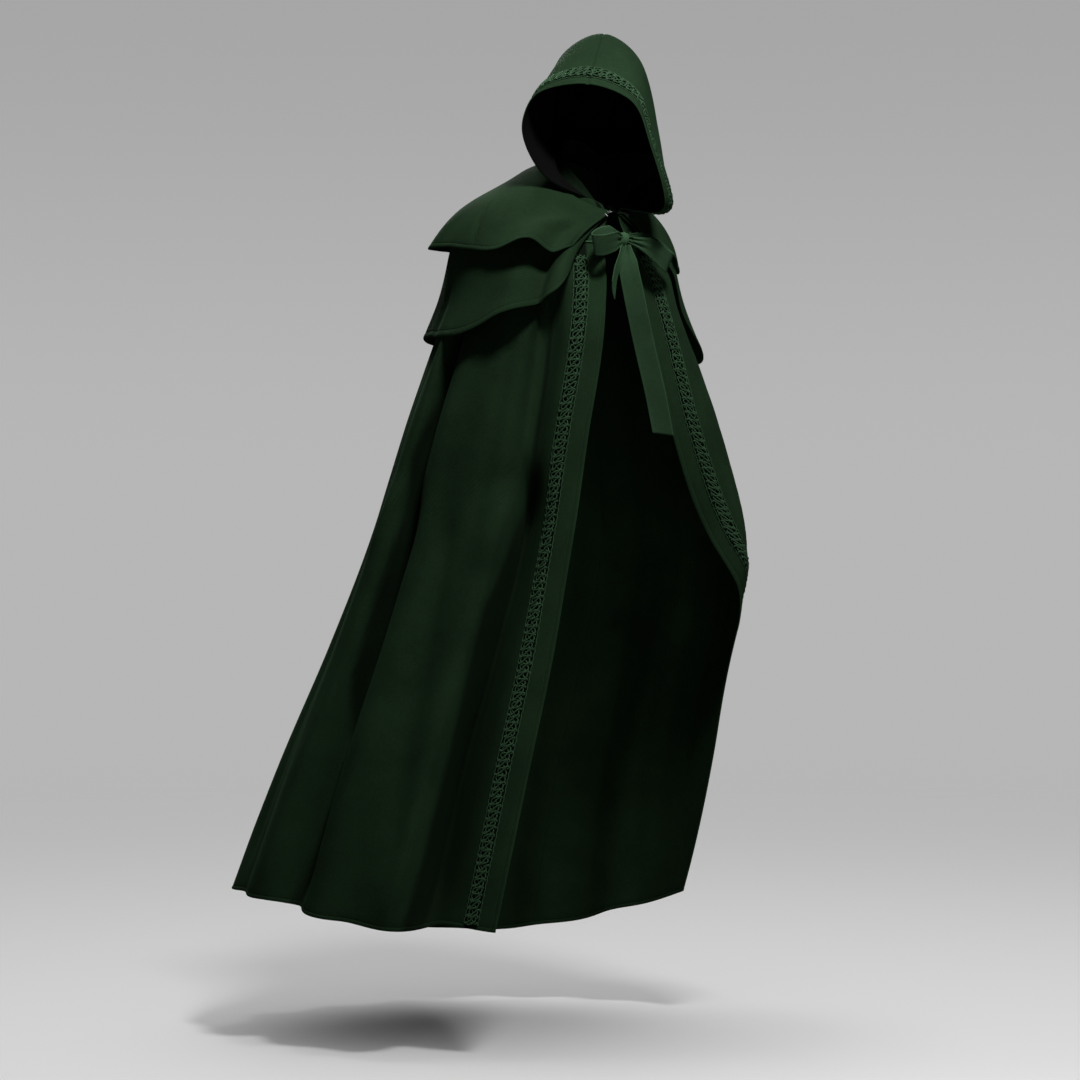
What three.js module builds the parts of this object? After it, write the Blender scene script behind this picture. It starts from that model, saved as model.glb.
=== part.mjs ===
// A hooded wool cloak with a tiered shoulder capelet, braid along its fronts and hood, and a tied
// ribbon bow, hanging from its neckline with the skirt swung back.
// Millimetres, +Z up. The opening faces -Y, with the right front at -X. The origin is the centre of
// the tilted neckline.
import * as THREE from "three";

// Cloth and seams
const WOOL = 2.4; // thickness of the fulled wool
const RIBBON = 1.8; // thickness of the folded tie ribbon
const SEAM_GAP = 0.3; // pieces stand this far apart where they are sewn
const HOOD_RADIUS = 74.6; // the hood is sewn just inside the cloak's neckline
const COLLAR = { radius: 70, inward: 21, throat: 12, side: 32, round: 60 }; // stand collar inside the hood
const NECK_HEIGHT = 15; // mean height of the tilted neckline
const NECK_TILT = 58; // the nape lies this far above the mean, the throat this far below
const STREAM = 38; // the cloth swings away along this bearing, behind its right front
const LAP_START = 320; // the leading front's own depth fades out between these bearings of the turned frame
const LAP_END = 338;
const RIGHT_SEAM = 112; // bearings of the two side seams
const LEFT_SEAM = 232;
const DEG = Math.PI / 180;

// Sections of the cloak from neck to hem. The reaches are measured from the neckline's axis in a frame
// turned by `turn`: out is the trailing side, into the leading side, near and far its front and back,
// and lap the leading front. from and to are the bearings of the two front edges.
const CLOAK = [
  // neck
  { z: 13, riseFar: 58, riseOut: 0, riseIn: 0, turn: 0, out: 77.6, into: 77.6, near: 77.6, far: 77.6, lap: 77.6,
    from: 8, to: 352 },
  // shoulder
  { z: -78, riseFar: 34, riseOut: 10, riseIn: 4, turn: 0.5, out: 224, into: 140, near: 130, far: 146, lap: 100,
    from: 10, to: 352 },
  // chest
  { z: -222, riseFar: 6, riseOut: 4, riseIn: 0, turn: 1, out: 262, into: 170, near: 178, far: 178, lap: 102,
    from: 17, to: 355 },
  // elbow
  { z: -436, riseFar: 0, riseOut: 6, riseIn: 6, turn: 1, out: 338, into: 243, near: 199, far: 205, lap: 88,
    from: 28, to: 355 },
  // hip
  { z: -655, riseFar: -8, riseOut: 15, riseIn: 15, turn: 1, out: 403, into: 298, near: 206, far: 250, lap: 22,
    from: 34, to: 345 },
  // thigh
  { z: -880, riseFar: -20, riseOut: 34, riseIn: 45, turn: 1, out: 483, into: 282, near: 221, far: 320, lap: 30,
    from: 32.6, to: 302 },
  // knee
  { z: -1120, riseFar: -32, riseOut: 62, riseIn: 80, turn: 1, out: 573, into: 256, near: 239, far: 390, lap: 30,
    from: 31.6, to: 294 },
  // hem
  { z: -1389, riseFar: -40, riseOut: 84, riseIn: 104, turn: 1, out: 668, into: 250, near: 251, far: 440, lap: 30,
    from: 32.6, to: 279 },
];

// Folds of the cloak: soft troughs at a bearing, bowed sideways by sway at mid height, with their depth
// at the hip and the hem, the level where each one starts, and their half widths in degrees on the side
// of smaller and of larger bearings.
const FOLDS = [
  { at: 45, sway: 8, hip: 20, hem: 40, start: 1.7, before: 11, after: 6 },
  { at: 68, sway: 3, hip: 2, hem: 10, start: 3.4, before: 7, after: 5 },
  { at: 88, sway: 8, hip: 18, hem: 28, start: 1.9, before: 6, after: 9 },
  { at: 112, sway: 3, hip: 3, hem: 15, start: 3.6, before: 7, after: 7 },
  { at: 143, sway: -4, hip: 16, hem: 40, start: 2.2, before: 9, after: 7 },
  { at: 165, sway: 3, hip: 20, hem: 48, start: 1.9, before: 7, after: 9 },
  { at: 188, sway: -3, hip: 16, hem: 40, start: 2.1, before: 9, after: 7 },
  { at: 211, sway: 4, hip: 22, hem: 50, start: 1.8, before: 8, after: 9 },
  { at: 233, sway: -2, hip: 12, hem: 34, start: 2.6, before: 7, after: 8 },
  { at: 254, sway: 3, hip: 8, hem: 26, start: 3.2, before: 7, after: 7 },
];
const FOLD_LIFT = 0.4; // share of a trough's depth by which its hem rises
const FOLD_RAMP = 1.6; // levels over which a fold reaches its full depth
const HIP = 4; // level of the hip
const HEM = CLOAK.length - 1; // level of the hem

// Hems of the two capelets by bearing: the section of the cloak they reach, and how far they stand off it.
const UPPER_HEM = [
  { at: 34, level: 1.12, stand: 22 },
  { at: 44, level: 1.28, stand: 44 },
  { at: 55, level: 1.14, stand: 56 },
  { at: 72, level: 1.28, stand: 38 },
  { at: 90, level: 1.3, stand: 24 },
  { at: 108, level: 1.32, stand: 30 },
  { at: 130, level: 1.4, stand: 52 },
  { at: 152, level: 1.42, stand: 30 },
  { at: 176, level: 1.5, stand: 44 },
  { at: 200, level: 1.5, stand: 24 },
  { at: 224, level: 1.5, stand: 42 },
  { at: 250, level: 1.5, stand: 24 },
  { at: 272, level: 1.56, stand: 44 },
  { at: 290, level: 1.56, stand: 26 },
  { at: 306, level: 1.34, stand: 19 },
  { at: 326, level: 1.14, stand: 17 },
];
const LOWER_HEM = [
  { at: 34, level: 1.3, stand: 10 },
  { at: 42, level: 1.8, stand: 44 },
  { at: 50, level: 1.96, stand: 42 },
  { at: 66, level: 2.1, stand: 40 },
  { at: 86, level: 2.28, stand: 28 },
  { at: 104, level: 2.29, stand: 16 },
  { at: 126, level: 2.28, stand: 14 },
  { at: 150, level: 2.34, stand: 32 },
  { at: 176, level: 2.36, stand: 14 },
  { at: 200, level: 2.38, stand: 34 },
  { at: 225, level: 2.4, stand: 15 },
  { at: 250, level: 2.42, stand: 36 },
  { at: 270, level: 2.5, stand: 44 },
  { at: 284, level: 2.46, stand: 44 },
  { at: 296, level: 1.96, stand: 12 },
  { at: 309, level: 1.6, stand: 10 },
  { at: 326, level: 1.2, stand: 9 },
];
const CAPELETS = {
  lower: { hem: LOWER_HEM, rest: WOOL + SEAM_GAP, ease: 5 },
  upper: { hem: UPPER_HEM, rest: 2 * (WOOL + SEAM_GAP), ease: 9 },
};
const EASE_END = 0.2; // the cloth springs clear of the layer below within this share of its length
const FLARE = 2.8; // the capelets lie close at the top and flare towards their hems
const CAPELET_FRONT = 6; // bearing of the capelet's front edge at the neck, from the centre front
const CAPELET_CORNER = 34; // and at its rounded front corner

// Arches of the hood from the rim to the nape, in a frame at the hood's axis that looks along the
// bearing turn. ahead and crown place the top of each arch. On either side the arch is widest at half
// and wide, and passes low and drop before it meets the neckline at the bearing neck.
const HOOD_FORWARD = 50; // the hood's axis stands this far in front of the neckline's at the rim
const HOOD_BACK = 0.55; // and meets it at this share of the hood's length
const SQUARE_RIGHT = 0.78; // how square the arches are at their upper corners
const SQUARE_LEFT = 0.7;
const TRAIL = 3; // each point down an arch lies this much further back
const TUCK = 0.35; // share by which the low point follows the neckline
const NAPE_START = 0.84; // beyond this share of its length the hood draws in to the nape's seam
const HOOD_RIGHT = [
  { turn: 54, ahead: 116, crown: 180, half: 125, wide: 108, low: 94, drop: 24, neck: 7 },
  { turn: 54, ahead: 80, crown: 214, half: 116, wide: 112, low: 88, drop: 30, neck: 20 },
  { turn: 54, ahead: 42, crown: 258, half: 104, wide: 120, low: 84, drop: 42, neck: 36 },
  { turn: 52, ahead: 0, crown: 288, half: 102, wide: 130, low: 97, drop: 54, neck: 54 },
  { turn: 46, ahead: -52, crown: 276, half: 106, wide: 136, low: 114, drop: 66, neck: 72 },
  { turn: 36, ahead: -88, crown: 220, half: 102, wide: 128, low: 104, drop: 76, neck: 90 },
  { turn: 20, ahead: -92, crown: 160, half: 90, wide: 116, low: 90, drop: 84, neck: 106 },
  { turn: 4, ahead: -88, crown: 114, half: 80, wide: 102, low: 80, drop: 86, neck: 118 },
];
const HOOD_LEFT = [
  { turn: 54, ahead: 116, crown: 180, half: 118, wide: 58, low: 132, drop: -44, neck: 7 },
  { turn: 54, ahead: 80, crown: 214, half: 112, wide: 74, low: 138, drop: -36, neck: 20 },
  { turn: 54, ahead: 42, crown: 258, half: 102, wide: 104, low: 122, drop: 0, neck: 36 },
  { turn: 52, ahead: 0, crown: 288, half: 93, wide: 130, low: 104, drop: 34, neck: 54 },
  { turn: 46, ahead: -52, crown: 276, half: 88, wide: 140, low: 92, drop: 56, neck: 72 },
  { turn: 36, ahead: -88, crown: 220, half: 86, wide: 126, low: 88, drop: 70, neck: 90 },
  { turn: 20, ahead: -92, crown: 156, half: 84, wide: 114, low: 84, drop: 80, neck: 106 },
  { turn: 4, ahead: -88, crown: 114, half: 80, wide: 102, low: 80, drop: 86, neck: 118 },
];
const HOOD_LIFT = 9; // the hood rises this far past the stacked edges of the cloak before it spreads
const HOOD_SEAM = 0.012; // share of an arch that rises along the seam
// Rows of the hood's grid, with one along each side of the braid
const HOOD_ROWS = [0, 0.055, 0.1, 0.145, 0.22, 0.3, 0.38, 0.46, 0.54, 0.62, 0.7, 0.78, 0.85, 0.93, 0.99, 1];
const HOOD_COLUMNS = 13; // in each half
const CENTRE_SEAM = 0.0008; // half the gap between the halves, as a share of an arch

// Braid
const BRAID = { width: 27, inset: 48, base: 1.2, relief: 1.3, crossings: 60 };
const BRAID_TOP = 4; // row of the cloak's grid where the front braids start
const BRAID_END = 0.08; // share of the last row left free at the hem
const BRAID_GAPS = { right: 0.6, left: 1.4, hood: 0.9 }; // air between a braid and its panel
const HOOD_BRAID_ROW = 0.72; // row of the hood's table on which its braid is laid
const HOOD_ROW_SPACE = 46; // mean distance between rows of the hood's table

// Bow of the ribbon tie: places are of the ribbon's middle line
const TIE_WIDTH = 38;
const KNOT = new THREE.Vector3(-13, -122, -96);
const KNOT_HALF = [10, 8.5, 12.5]; // half its width, depth and height

// A column of a table at a fractional row, on a Catmull-Rom curve through its rows.
function column(rows, key, row) {
  const last = rows.length - 1;
  const i = Math.min(Math.max(Math.floor(row), 0), last - 1);
  const f = row - i;
  const p = [i - 1, i, i + 1, i + 2].map((k) => rows[Math.min(Math.max(k, 0), last)][key]);
  const m1 = (p[2] - p[0]) / (i === 0 ? 1 : 2);
  const m2 = (p[3] - p[1]) / (i === last - 1 ? 1 : 2);
  return (
    (2 * f ** 3 - 3 * f ** 2 + 1) * p[1] +
    (f ** 3 - 2 * f ** 2 + f) * m1 +
    (-2 * f ** 3 + 3 * f ** 2) * p[2] +
    (f ** 3 - f ** 2) * m2
  );
}

// The fractional row of a table whose `at` column holds a bearing.
function rowAt(rows, bearing) {
  const last = rows.length - 1;
  let i = 0;
  while (i < last - 1 && rows[i + 1].at < bearing) i += 1;
  return Math.min(Math.max(i + (bearing - rows[i].at) / (rows[i + 1].at - rows[i].at), 0), last);
}

function smooth(low, high, x) {
  const f = Math.min(Math.max((x - low) / (high - low), 0), 1);
  return f * f * (3 - 2 * f);
}

function mix(a, b, f) {
  return a + (b - a) * f;
}

// Height of the tilted neckline at a bearing.
function neckHeight(bearing) {
  return NECK_HEIGHT - NECK_TILT * Math.cos(bearing * DEG);
}

// The cloak's surface without its folds: bearing in degrees round from the front over the right side,
// level from 0 at the neck to 7 at the hem.
function drape(bearing, level) {
  const get = (key) => column(CLOAK, key, level);
  const turn = get("turn") * STREAM;
  const a = (bearing - turn) * DEG;
  const out = get("out");
  const into = get("into");
  const near = get("near");
  const far = get("far");
  const lap = get("lap");
  const middleSide = (into - out) / 2;
  const middleDepth = (far - near) / 2;
  const round = (bearing - turn + 360) % 360;
  const leading = round > 270 ? 1 - smooth(LAP_START, LAP_END, round) : 0;
  const depth = mix((far + near) / 2, lap + middleDepth, leading);
  const side = middleSide - (Math.sin(a) * (out + into)) / 2;
  const back = middleDepth - Math.cos(a) * depth;
  const rise = Math.sin(a) > 0 ? get("riseOut") : get("riseIn");
  const z = get("z") - get("riseFar") * Math.cos(a) + rise * Math.sin(a) ** 2;
  const c = Math.cos(turn * DEG);
  const s = Math.sin(turn * DEG);
  return new THREE.Vector3(side * c + back * s, -side * s + back * c, z);
}

// Outward normal of a surface given as a function of two parameters.
function normalOf(surface, p, q, dp, dq) {
  const alongP = surface(p + dp, q).sub(surface(p - dp, q));
  const alongQ = surface(p, q + dq).sub(surface(p, q - dq));
  return alongP.cross(alongQ).normalize();
}

function drapeNormal(bearing, level) {
  return normalOf(drape, bearing, level, 0.5, 0.01);
}

function foldDepth(bearing, level) {
  return FOLDS.reduce((sum, fold) => {
    const ramp = smooth(fold.start, fold.start + FOLD_RAMP, level);
    const depth = mix(fold.hip, fold.hem, Math.max(level - HIP, 0) / (HEM - HIP));
    const middle = fold.at + fold.sway * Math.sin((Math.PI * (level - 1)) / (HEM - 1));
    const width = bearing < middle ? fold.before : fold.after;
    return sum + depth * ramp * Math.exp(-(((bearing - middle) / width) ** 2));
  }, 0);
}

// The cloak's cloth with its folds: a trough lies further in, and its hem a little higher.
function cloak(bearing, level) {
  const depth = foldDepth(bearing, level);
  const point = drape(bearing, level).addScaledVector(drapeNormal(bearing, level), -depth);
  return point.setZ(point.z + FOLD_LIFT * depth);
}

// A capelet: u runs from its right front edge to its left one, s from the neck to the hem.
function capelet({ hem, rest, ease }, u, s) {
  const front = mix(CAPELET_FRONT, CAPELET_CORNER, s);
  const bearing = mix(front, 360 - front, u);
  const hemRow = rowAt(hem, mix(CAPELET_CORNER, 360 - CAPELET_CORNER, u));
  const level = s * column(hem, "level", hemRow);
  const clear = rest + ease * smooth(0, EASE_END, s);
  const stand = mix(clear, column(hem, "stand", hemRow), s ** FLARE);
  return drape(bearing, level).addScaledVector(drapeNormal(bearing, level), stand);
}

// A point of the neckline's ring.
function neckPoint(bearing, radius, lift) {
  const a = bearing * DEG;
  return new THREE.Vector3(-radius * Math.sin(a), -radius * Math.cos(a), neckHeight(bearing) + lift);
}

// The points that an arch of the hood passes on one side, from just below its crown to the neckline.
function archPoints(rows, s, side) {
  const last = rows.length - 1;
  const get = (key) => column(rows, key, s * last);
  const turn = get("turn") * DEG;
  const forward = HOOD_FORWARD * smooth(1, HOOD_BACK, s);
  const spot = (across, ahead, height) =>
    new THREE.Vector3(
      side * across * Math.cos(turn) - ahead * Math.sin(turn),
      -forward - side * across * Math.sin(turn) - ahead * Math.cos(turn),
      height,
    );
  const square = side < 0 ? SQUARE_RIGHT : SQUARE_LEFT;
  const base = neckPoint(side < 0 ? get("neck") : 360 - get("neck"), HOOD_RADIUS, HOOD_LIFT);
  const baseAhead = -base.x * Math.sin(turn) - (base.y + forward) * Math.cos(turn);
  return [
    spot(0, get("ahead"), get("crown")),
    spot(square * get("half"), get("ahead") - TRAIL, mix(get("wide"), get("crown"), square)),
    spot(get("half"), get("ahead") - 2 * TRAIL, get("wide")),
    spot(get("low"), mix(get("ahead"), baseAhead, TUCK), get("drop")),
    base,
  ];
}

// The hood: u runs along an arch from the right side over the crown to the left, s from rim to nape.
function hood(u, s) {
  const [crown, ...right] = archPoints(HOOD_RIGHT, s, -1);
  const left = archPoints(HOOD_LEFT, s, 1).slice(1);
  const arch = new THREE.CatmullRomCurve3([...right.reverse(), crown, ...left], false, "centripetal").getPoint(u);
  const nape = HOOD_RIGHT[HOOD_RIGHT.length - 1].neck;
  const seam = neckPoint(mix(nape, 360 - nape, u), HOOD_RADIUS, HOOD_LIFT);
  const edge = Math.min(u, 1 - u, 1 - s) / HOOD_SEAM;
  const drop = (HOOD_LIFT - 1) * (1 - Math.min(edge, 1));
  return arch.lerp(seam, smooth(NAPE_START, 1, s)).add(new THREE.Vector3(0, 0, -drop));
}

// A closed wall of cloth on a grid of points: place(u, v) is its middle, normal(u, v) its outward
// direction, both for u and v from 0 to 1, and raise(u, v) lifts the outer face alone.
function wall({ across, along, place, normal, thick, raise = () => 0 }) {
  const points = [];
  const grid = [[], []];
  for (const side of [0, 1]) {
    for (let j = 0; j <= along; j += 1) {
      for (let i = 0; i <= across; i += 1) {
        const [u, v] = [i / across, j / along];
        const off = side === 0 ? thick / 2 + raise(u, v) : -thick / 2;
        points.push(place(u, v).addScaledVector(normal(u, v), off));
        grid[side].push(points.length - 1);
      }
    }
  }
  const id = (side, i, j) => grid[side][j * (across + 1) + i];
  const index = [];
  const quad = (a, b, c, d) => index.push(a, b, c, a, c, d);
  for (let j = 0; j < along; j += 1) {
    for (let i = 0; i < across; i += 1) {
      quad(id(0, i, j), id(0, i, j + 1), id(0, i + 1, j + 1), id(0, i + 1, j));
      quad(id(1, i, j), id(1, i + 1, j), id(1, i + 1, j + 1), id(1, i, j + 1));
    }
  }
  for (let i = 0; i < across; i += 1) {
    quad(id(0, i, 0), id(0, i + 1, 0), id(1, i + 1, 0), id(1, i, 0));
    quad(id(0, i + 1, along), id(0, i, along), id(1, i, along), id(1, i + 1, along));
  }
  for (let j = 0; j < along; j += 1) {
    quad(id(0, 0, j + 1), id(0, 0, j), id(1, 0, j), id(1, 0, j + 1));
    quad(id(0, across, j), id(0, across, j + 1), id(1, across, j + 1), id(1, across, j));
  }
  return closed(points, index);
}

// A geometry from points and triangles, with its faces turned outwards.
function closed(points, index) {
  let volume = 0;
  for (let i = 0; i < index.length; i += 3) {
    const [a, b, c] = [points[index[i]], points[index[i + 1]], points[index[i + 2]]];
    volume += a.dot(b.clone().cross(c));
  }
  if (volume < 0) {
    for (let i = 0; i < index.length; i += 3) {
      [index[i + 1], index[i + 2]] = [index[i + 2], index[i + 1]];
    }
  }
  const geometry = new THREE.BufferGeometry();
  geometry.setAttribute("position", new THREE.Float32BufferAttribute(points.flatMap((p) => [p.x, p.y, p.z]), 3));
  geometry.setIndex(index);
  geometry.computeVertexNormals();
  return geometry;
}

// Rows of the cloak's grid: close together over the shoulder, wider towards the hem.
const RINGS = [0, 0.3, 0.6, 0.9, 1.2, 1.6, 2, 2.4, 2.8, 3.2, 3.5, 3.8, 4.1, 4.4, 4.7, 5, 5.4, 5.8, 6.2, 6.6, 7];
const PLAIN_COLUMNS = { right: 18, back: 28, left: 15 }; // columns of each panel beside those of the braid
const CAPELET_COLUMNS = 42;
const TIE_ROWS = { loop: 14, tail: 12, band: 6 };

// The value at a share v along a list of numbers.
function between(list, v) {
  const x = v * (list.length - 1);
  const i = Math.min(Math.floor(x), list.length - 2);
  return mix(list[i], list[i + 1], x - i);
}

// A side seam, moved by half the gap to one side of its bearing.
function seamEdge(bearing, side, level) {
  const reach = drape(bearing, level).setZ(0).length();
  return bearing + (side * (SEAM_GAP / 2 + 0.1)) / reach / DEG;
}

// A bearing on the cloak at a distance round from one of its front edges.
function besideEdge(side, level, distance) {
  const inward = side === "right" ? 1 : -1;
  const step = 0.5;
  let bearing = column(CLOAK, side === "right" ? "from" : "to", level);
  let walked = 0;
  let here = cloak(bearing, level);
  while (walked < distance) {
    const next = cloak(bearing + inward * step, level);
    const length = next.distanceTo(here);
    const share = Math.min((distance - walked) / length, 1);
    bearing += inward * step * share;
    walked += length * share;
    here = next;
  }
  return bearing;
}

// Bearings of a front panel's columns at a level: its edge, the two sides and the middle of the braid,
// and then evenly to the side seam.
function frontColumns(side, level) {
  const half = BRAID.width / 2;
  const fixed = [0, BRAID.inset - half, BRAID.inset, BRAID.inset + half].map((d) => besideEdge(side, level, d));
  const seam = side === "right" ? seamEdge(RIGHT_SEAM, -1, level) : seamEdge(LEFT_SEAM, 1, level);
  const plain = PLAIN_COLUMNS[side];
  const last = fixed[fixed.length - 1];
  return [...fixed, ...Array.from({ length: plain }, (_, k) => mix(last, seam, (k + 1) / plain))];
}

function backColumns(level) {
  const plain = PLAIN_COLUMNS.back;
  const start = seamEdge(RIGHT_SEAM, 1, level);
  const end = seamEdge(LEFT_SEAM, -1, level);
  return Array.from({ length: plain + 1 }, (_, k) => mix(start, end, k / plain));
}

function cloakNormal(bearing, level) {
  return normalOf(cloak, bearing, Math.min(Math.max(level, 0.02), HEM - 0.02), 0.5, 0.015);
}

// Points and outward normals of a panel of the cloak, row by row.
function panelGrid(columnsAt) {
  return RINGS.map((level) =>
    columnsAt(level).map((bearing) => ({
      point: cloak(bearing, level),
      normal: cloakNormal(bearing, level),
    })),
  );
}

// A point or a normal between the corners of a grid, at a fractional column and row.
function onGrid(grid, key, x, y) {
  const j = Math.min(Math.floor(y), grid.length - 2);
  const i = Math.min(Math.floor(x), grid[0].length - 2);
  const upper = grid[j][i][key].clone().lerp(grid[j][i + 1][key], x - i);
  const lower = grid[j + 1][i][key].clone().lerp(grid[j + 1][i + 1][key], x - i);
  return upper.lerp(lower, y - j);
}

function cloakPanel(grid) {
  const across = grid[0].length - 1;
  const along = grid.length - 1;
  return wall({
    across,
    along,
    place: (u, v) => onGrid(grid, "point", u * across, v * along),
    normal: (u, v) => onGrid(grid, "normal", u * across, v * along),
    thick: WOOL,
  });
}

// Raised lattice of a braid: high along its two edges and where its strands cross.
function braidRelief(u, v, rows) {
  const row = Math.round(v * rows);
  const middle = Math.abs(u - 0.5) < 0.1;
  const crossing = row % 2 === 0 ? middle : !middle;
  return BRAID.relief * (crossing ? 1 : 0.35);
}

// Braid along a front edge of the cloak, laid on the panel's outer face between its fixed columns.
function frontBraid(grid, gap) {
  const along = BRAID.crossings;
  const end = grid.length - 1 - BRAID_END;
  const x = (u) => 1 + 2 * u;
  const y = (v) => mix(BRAID_TOP, end, v);
  const lift = WOOL / 2 + gap + BRAID.base / 2;
  const normal = (u, v) => onGrid(grid, "normal", x(u), y(v)).normalize();
  return wall({
    across: 4,
    along,
    place: (u, v) => onGrid(grid, "point", x(u), y(v)).addScaledVector(normal(u, v), lift),
    normal,
    thick: BRAID.base,
    raise: (u, v) => braidRelief(u, v, along),
  });
}

function hoodNormal(u, s) {
  const v = Math.min(Math.max(s, 0.004), 0.996);
  const w = Math.min(Math.max(u, 0.004), 0.996);
  return normalOf(hood, w, v, 0.003, 0.003);
}

// One half of the hood, from the neckline to the centre seam.
function hoodHalf(side) {
  const even = Array.from({ length: HOOD_COLUMNS }, (_, k) => (k + 1) / (2 * HOOD_COLUMNS));
  const columns = [0, HOOD_SEAM, ...even];
  columns[columns.length - 1] -= CENTRE_SEAM;
  const place = (u) => (side === "right" ? between(columns, u) : 1 - between(columns, u));
  return wall({
    across: columns.length - 1,
    along: HOOD_ROWS.length - 1,
    place: (u, v) => hood(place(u), between(HOOD_ROWS, v)),
    normal: (u, v) => hoodNormal(place(u), between(HOOD_ROWS, v)),
    thick: WOOL,
  });
}

// Braid round the hood, set back from its rim.
function hoodBraid(start, end) {
  const rows = 2 * (HOOD_COLUMNS - 2);
  const inset = (u) => (HOOD_BRAID_ROW + ((u - 0.5) * BRAID.width) / HOOD_ROW_SPACE) / (HOOD_RIGHT.length - 1);
  const normal = (u, v) => hoodNormal(mix(start, end, v), inset(u));
  const lift = WOOL / 2 + BRAID_GAPS.hood + BRAID.base / 2;
  const place = (u, v) => hood(mix(start, end, v), inset(u)).addScaledVector(normal(u, v), lift);
  const raise = (u, v) => braidRelief(u, v, rows);
  return wall({ across: 4, along: rows, place, normal, thick: BRAID.base, raise });
}

function capeletPanel(shape, along) {
  const surface = (u, s) => capelet(shape, u, s);
  const normal = (u, v) =>
    normalOf(surface, Math.min(Math.max(u, 0.003), 0.997), Math.min(Math.max(v, 0.01), 0.99), 0.002, 0.008);
  return wall({ across: CAPELET_COLUMNS, along, place: surface, normal, thick: WOOL });
}

// Stand collar inside the hood, low at the throat and rising round the sides.
function collar() {
  const lean = new THREE.Vector3(0, -0.2, 0.98); // the collar leans forward with the head
  const ring = (u) => mix(CAPELET_FRONT, 360 - CAPELET_FRONT, u);
  const surface = (u, v) => {
    const bearing = ring(u);
    const tall = mix(COLLAR.throat, COLLAR.side, smooth(0, COLLAR.round, Math.min(bearing, 360 - bearing)));
    return neckPoint(bearing, COLLAR.radius - COLLAR.inward * v, 1).addScaledVector(lean, tall * v);
  };
  const normal = (u) => neckPoint(ring(u), 1, 0).setZ(0).normalize();
  return wall({ across: 32, along: 2, place: surface, normal, thick: WOOL });
}

// A ribbon along a smooth line: each row gives a point of the line and the direction of its width.
function ribbon(rows, along, width = TIE_WIDTH) {
  const line = new THREE.CatmullRomCurve3(rows.map((row) => new THREE.Vector3(...row.point)));
  const face = new THREE.CatmullRomCurve3(rows.map((row) => new THREE.Vector3(...row.width)));
  const sizes = rows.map((row) => ({ share: row.share ?? 1 }));
  const widthAt = (v) => width * column(sizes, "share", v * (rows.length - 1));
  const surface = (u, v) =>
    line.getPoint(v).addScaledVector(face.getPoint(v).normalize(), (u - 0.5) * widthAt(v));
  const normal = (u, v) => normalOf(surface, 0.5, Math.min(Math.max(v, 0.01), 0.99), 0.2, 0.01);
  return wall({ across: 3, along, place: surface, normal, thick: RIBBON });
}

const TIES = {
  tie_loop_right: [
    { point: [-22.9, -123.6, -94], width: [0.1, 0.2, 1], share: 0.45 },
    { point: [-52, -134, -92], width: [-0.2, 0.1, 1], share: 0.85 },
    { point: [-90, -144, -103], width: [-0.3, 0, 1], share: 1 },
    { point: [-108, -153, -114], width: [-0.3, -0.1, 1], share: 1 },
    { point: [-94, -162, -115], width: [-0.2, -0.2, 1], share: 1 },
    { point: [-56, -156, -105], width: [0, -0.1, 1], share: 0.85 },
    { point: [-26, -136, -98], width: [0.1, 0, 1], share: 0.45 },
  ],
  tie_loop_left: [
    { point: [-2.9, -122, -94], width: [-0.1, 0.2, 1], share: 0.45 },
    { point: [24, -131, -99], width: [0.3, 0.1, 1], share: 0.85 },
    { point: [62, -138, -118], width: [0.4, 0, 1], share: 1 },
    { point: [82, -140, -134], width: [0.45, -0.1, 1], share: 1 },
    { point: [70, -152, -136], width: [0.4, -0.2, 1], share: 1 },
    { point: [30, -150, -112], width: [0.2, -0.1, 1], share: 0.85 },
    { point: [0, -134, -100], width: [0, 0, 1], share: 0.45 },
  ],
  tie_tail_long: [
    { point: [-8, -127.4, -106.8], width: [1, -0.3, 0.1], share: 0.42 },
    { point: [-17, -140, -140], width: [1, -0.6, 0.15], share: 0.85 },
    { point: [-8, -148, -205], width: [1, -0.7, 0.2], share: 1 },
    { point: [8.5, -153.6, -284], width: [1, -0.7, 0.2], share: 1 },
    { point: [31.6, -160.5, -380], width: [1, -0.65, 0.2], share: 1 },
    { point: [48.2, -162.2, -452], width: [1, -0.6, 0.4], share: 0.9 },
  ],
  tie_tail_short: [
    { point: [-20.4, -129, -109.6], width: [0.3, 0.9, 0.3], share: 0.36 },
    { point: [-40, -146, -136], width: [0.5, 0.8, 0.3], share: 0.85 },
    { point: [-62, -160, -164], width: [0.5, 0.9, 0.3], share: 1 },
    { point: [-74, -168, -196], width: [0.5, 0.9, 0.5], share: 0.9 },
  ],
};

// A point off the outer face of the cloak, as a row of a ribbon.
function bandRow(bearing, level, off, share) {
  const point = cloak(bearing, level).addScaledVector(cloakNormal(bearing, level), off);
  const below = cloak(bearing, level + 0.1).sub(cloak(bearing, level)).negate();
  return { point: point.toArray(), width: below.normalize().toArray(), share };
}

// Bands of the tie, from where each one is sewn on beside a front edge to the knot.
const BAND_LEVEL = 0.82;
const BAND_OFF = WOOL / 2 + RIBBON / 2 + 1.5;
TIES.tie_band_right = [
  bandRow(22, BAND_LEVEL, BAND_OFF, 0.6),
  bandRow(14, BAND_LEVEL, BAND_OFF, 0.6),
  { point: [-40, -121, -98], width: [0.1, -0.2, 1], share: 0.45 },
  { point: [-22.8, -117, -96], width: [0.1, 0, 1], share: 0.34 },
];
TIES.tie_band_left = [
  bandRow(342, BAND_LEVEL, BAND_OFF, 0.6),
  bandRow(348, BAND_LEVEL, BAND_OFF, 0.6),
  { point: [8, -122, -96], width: [0, 0, 1], share: 0.45 },
  { point: [-3.2, -117, -96], width: [0, 0, 1], share: 0.34 },
];

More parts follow.
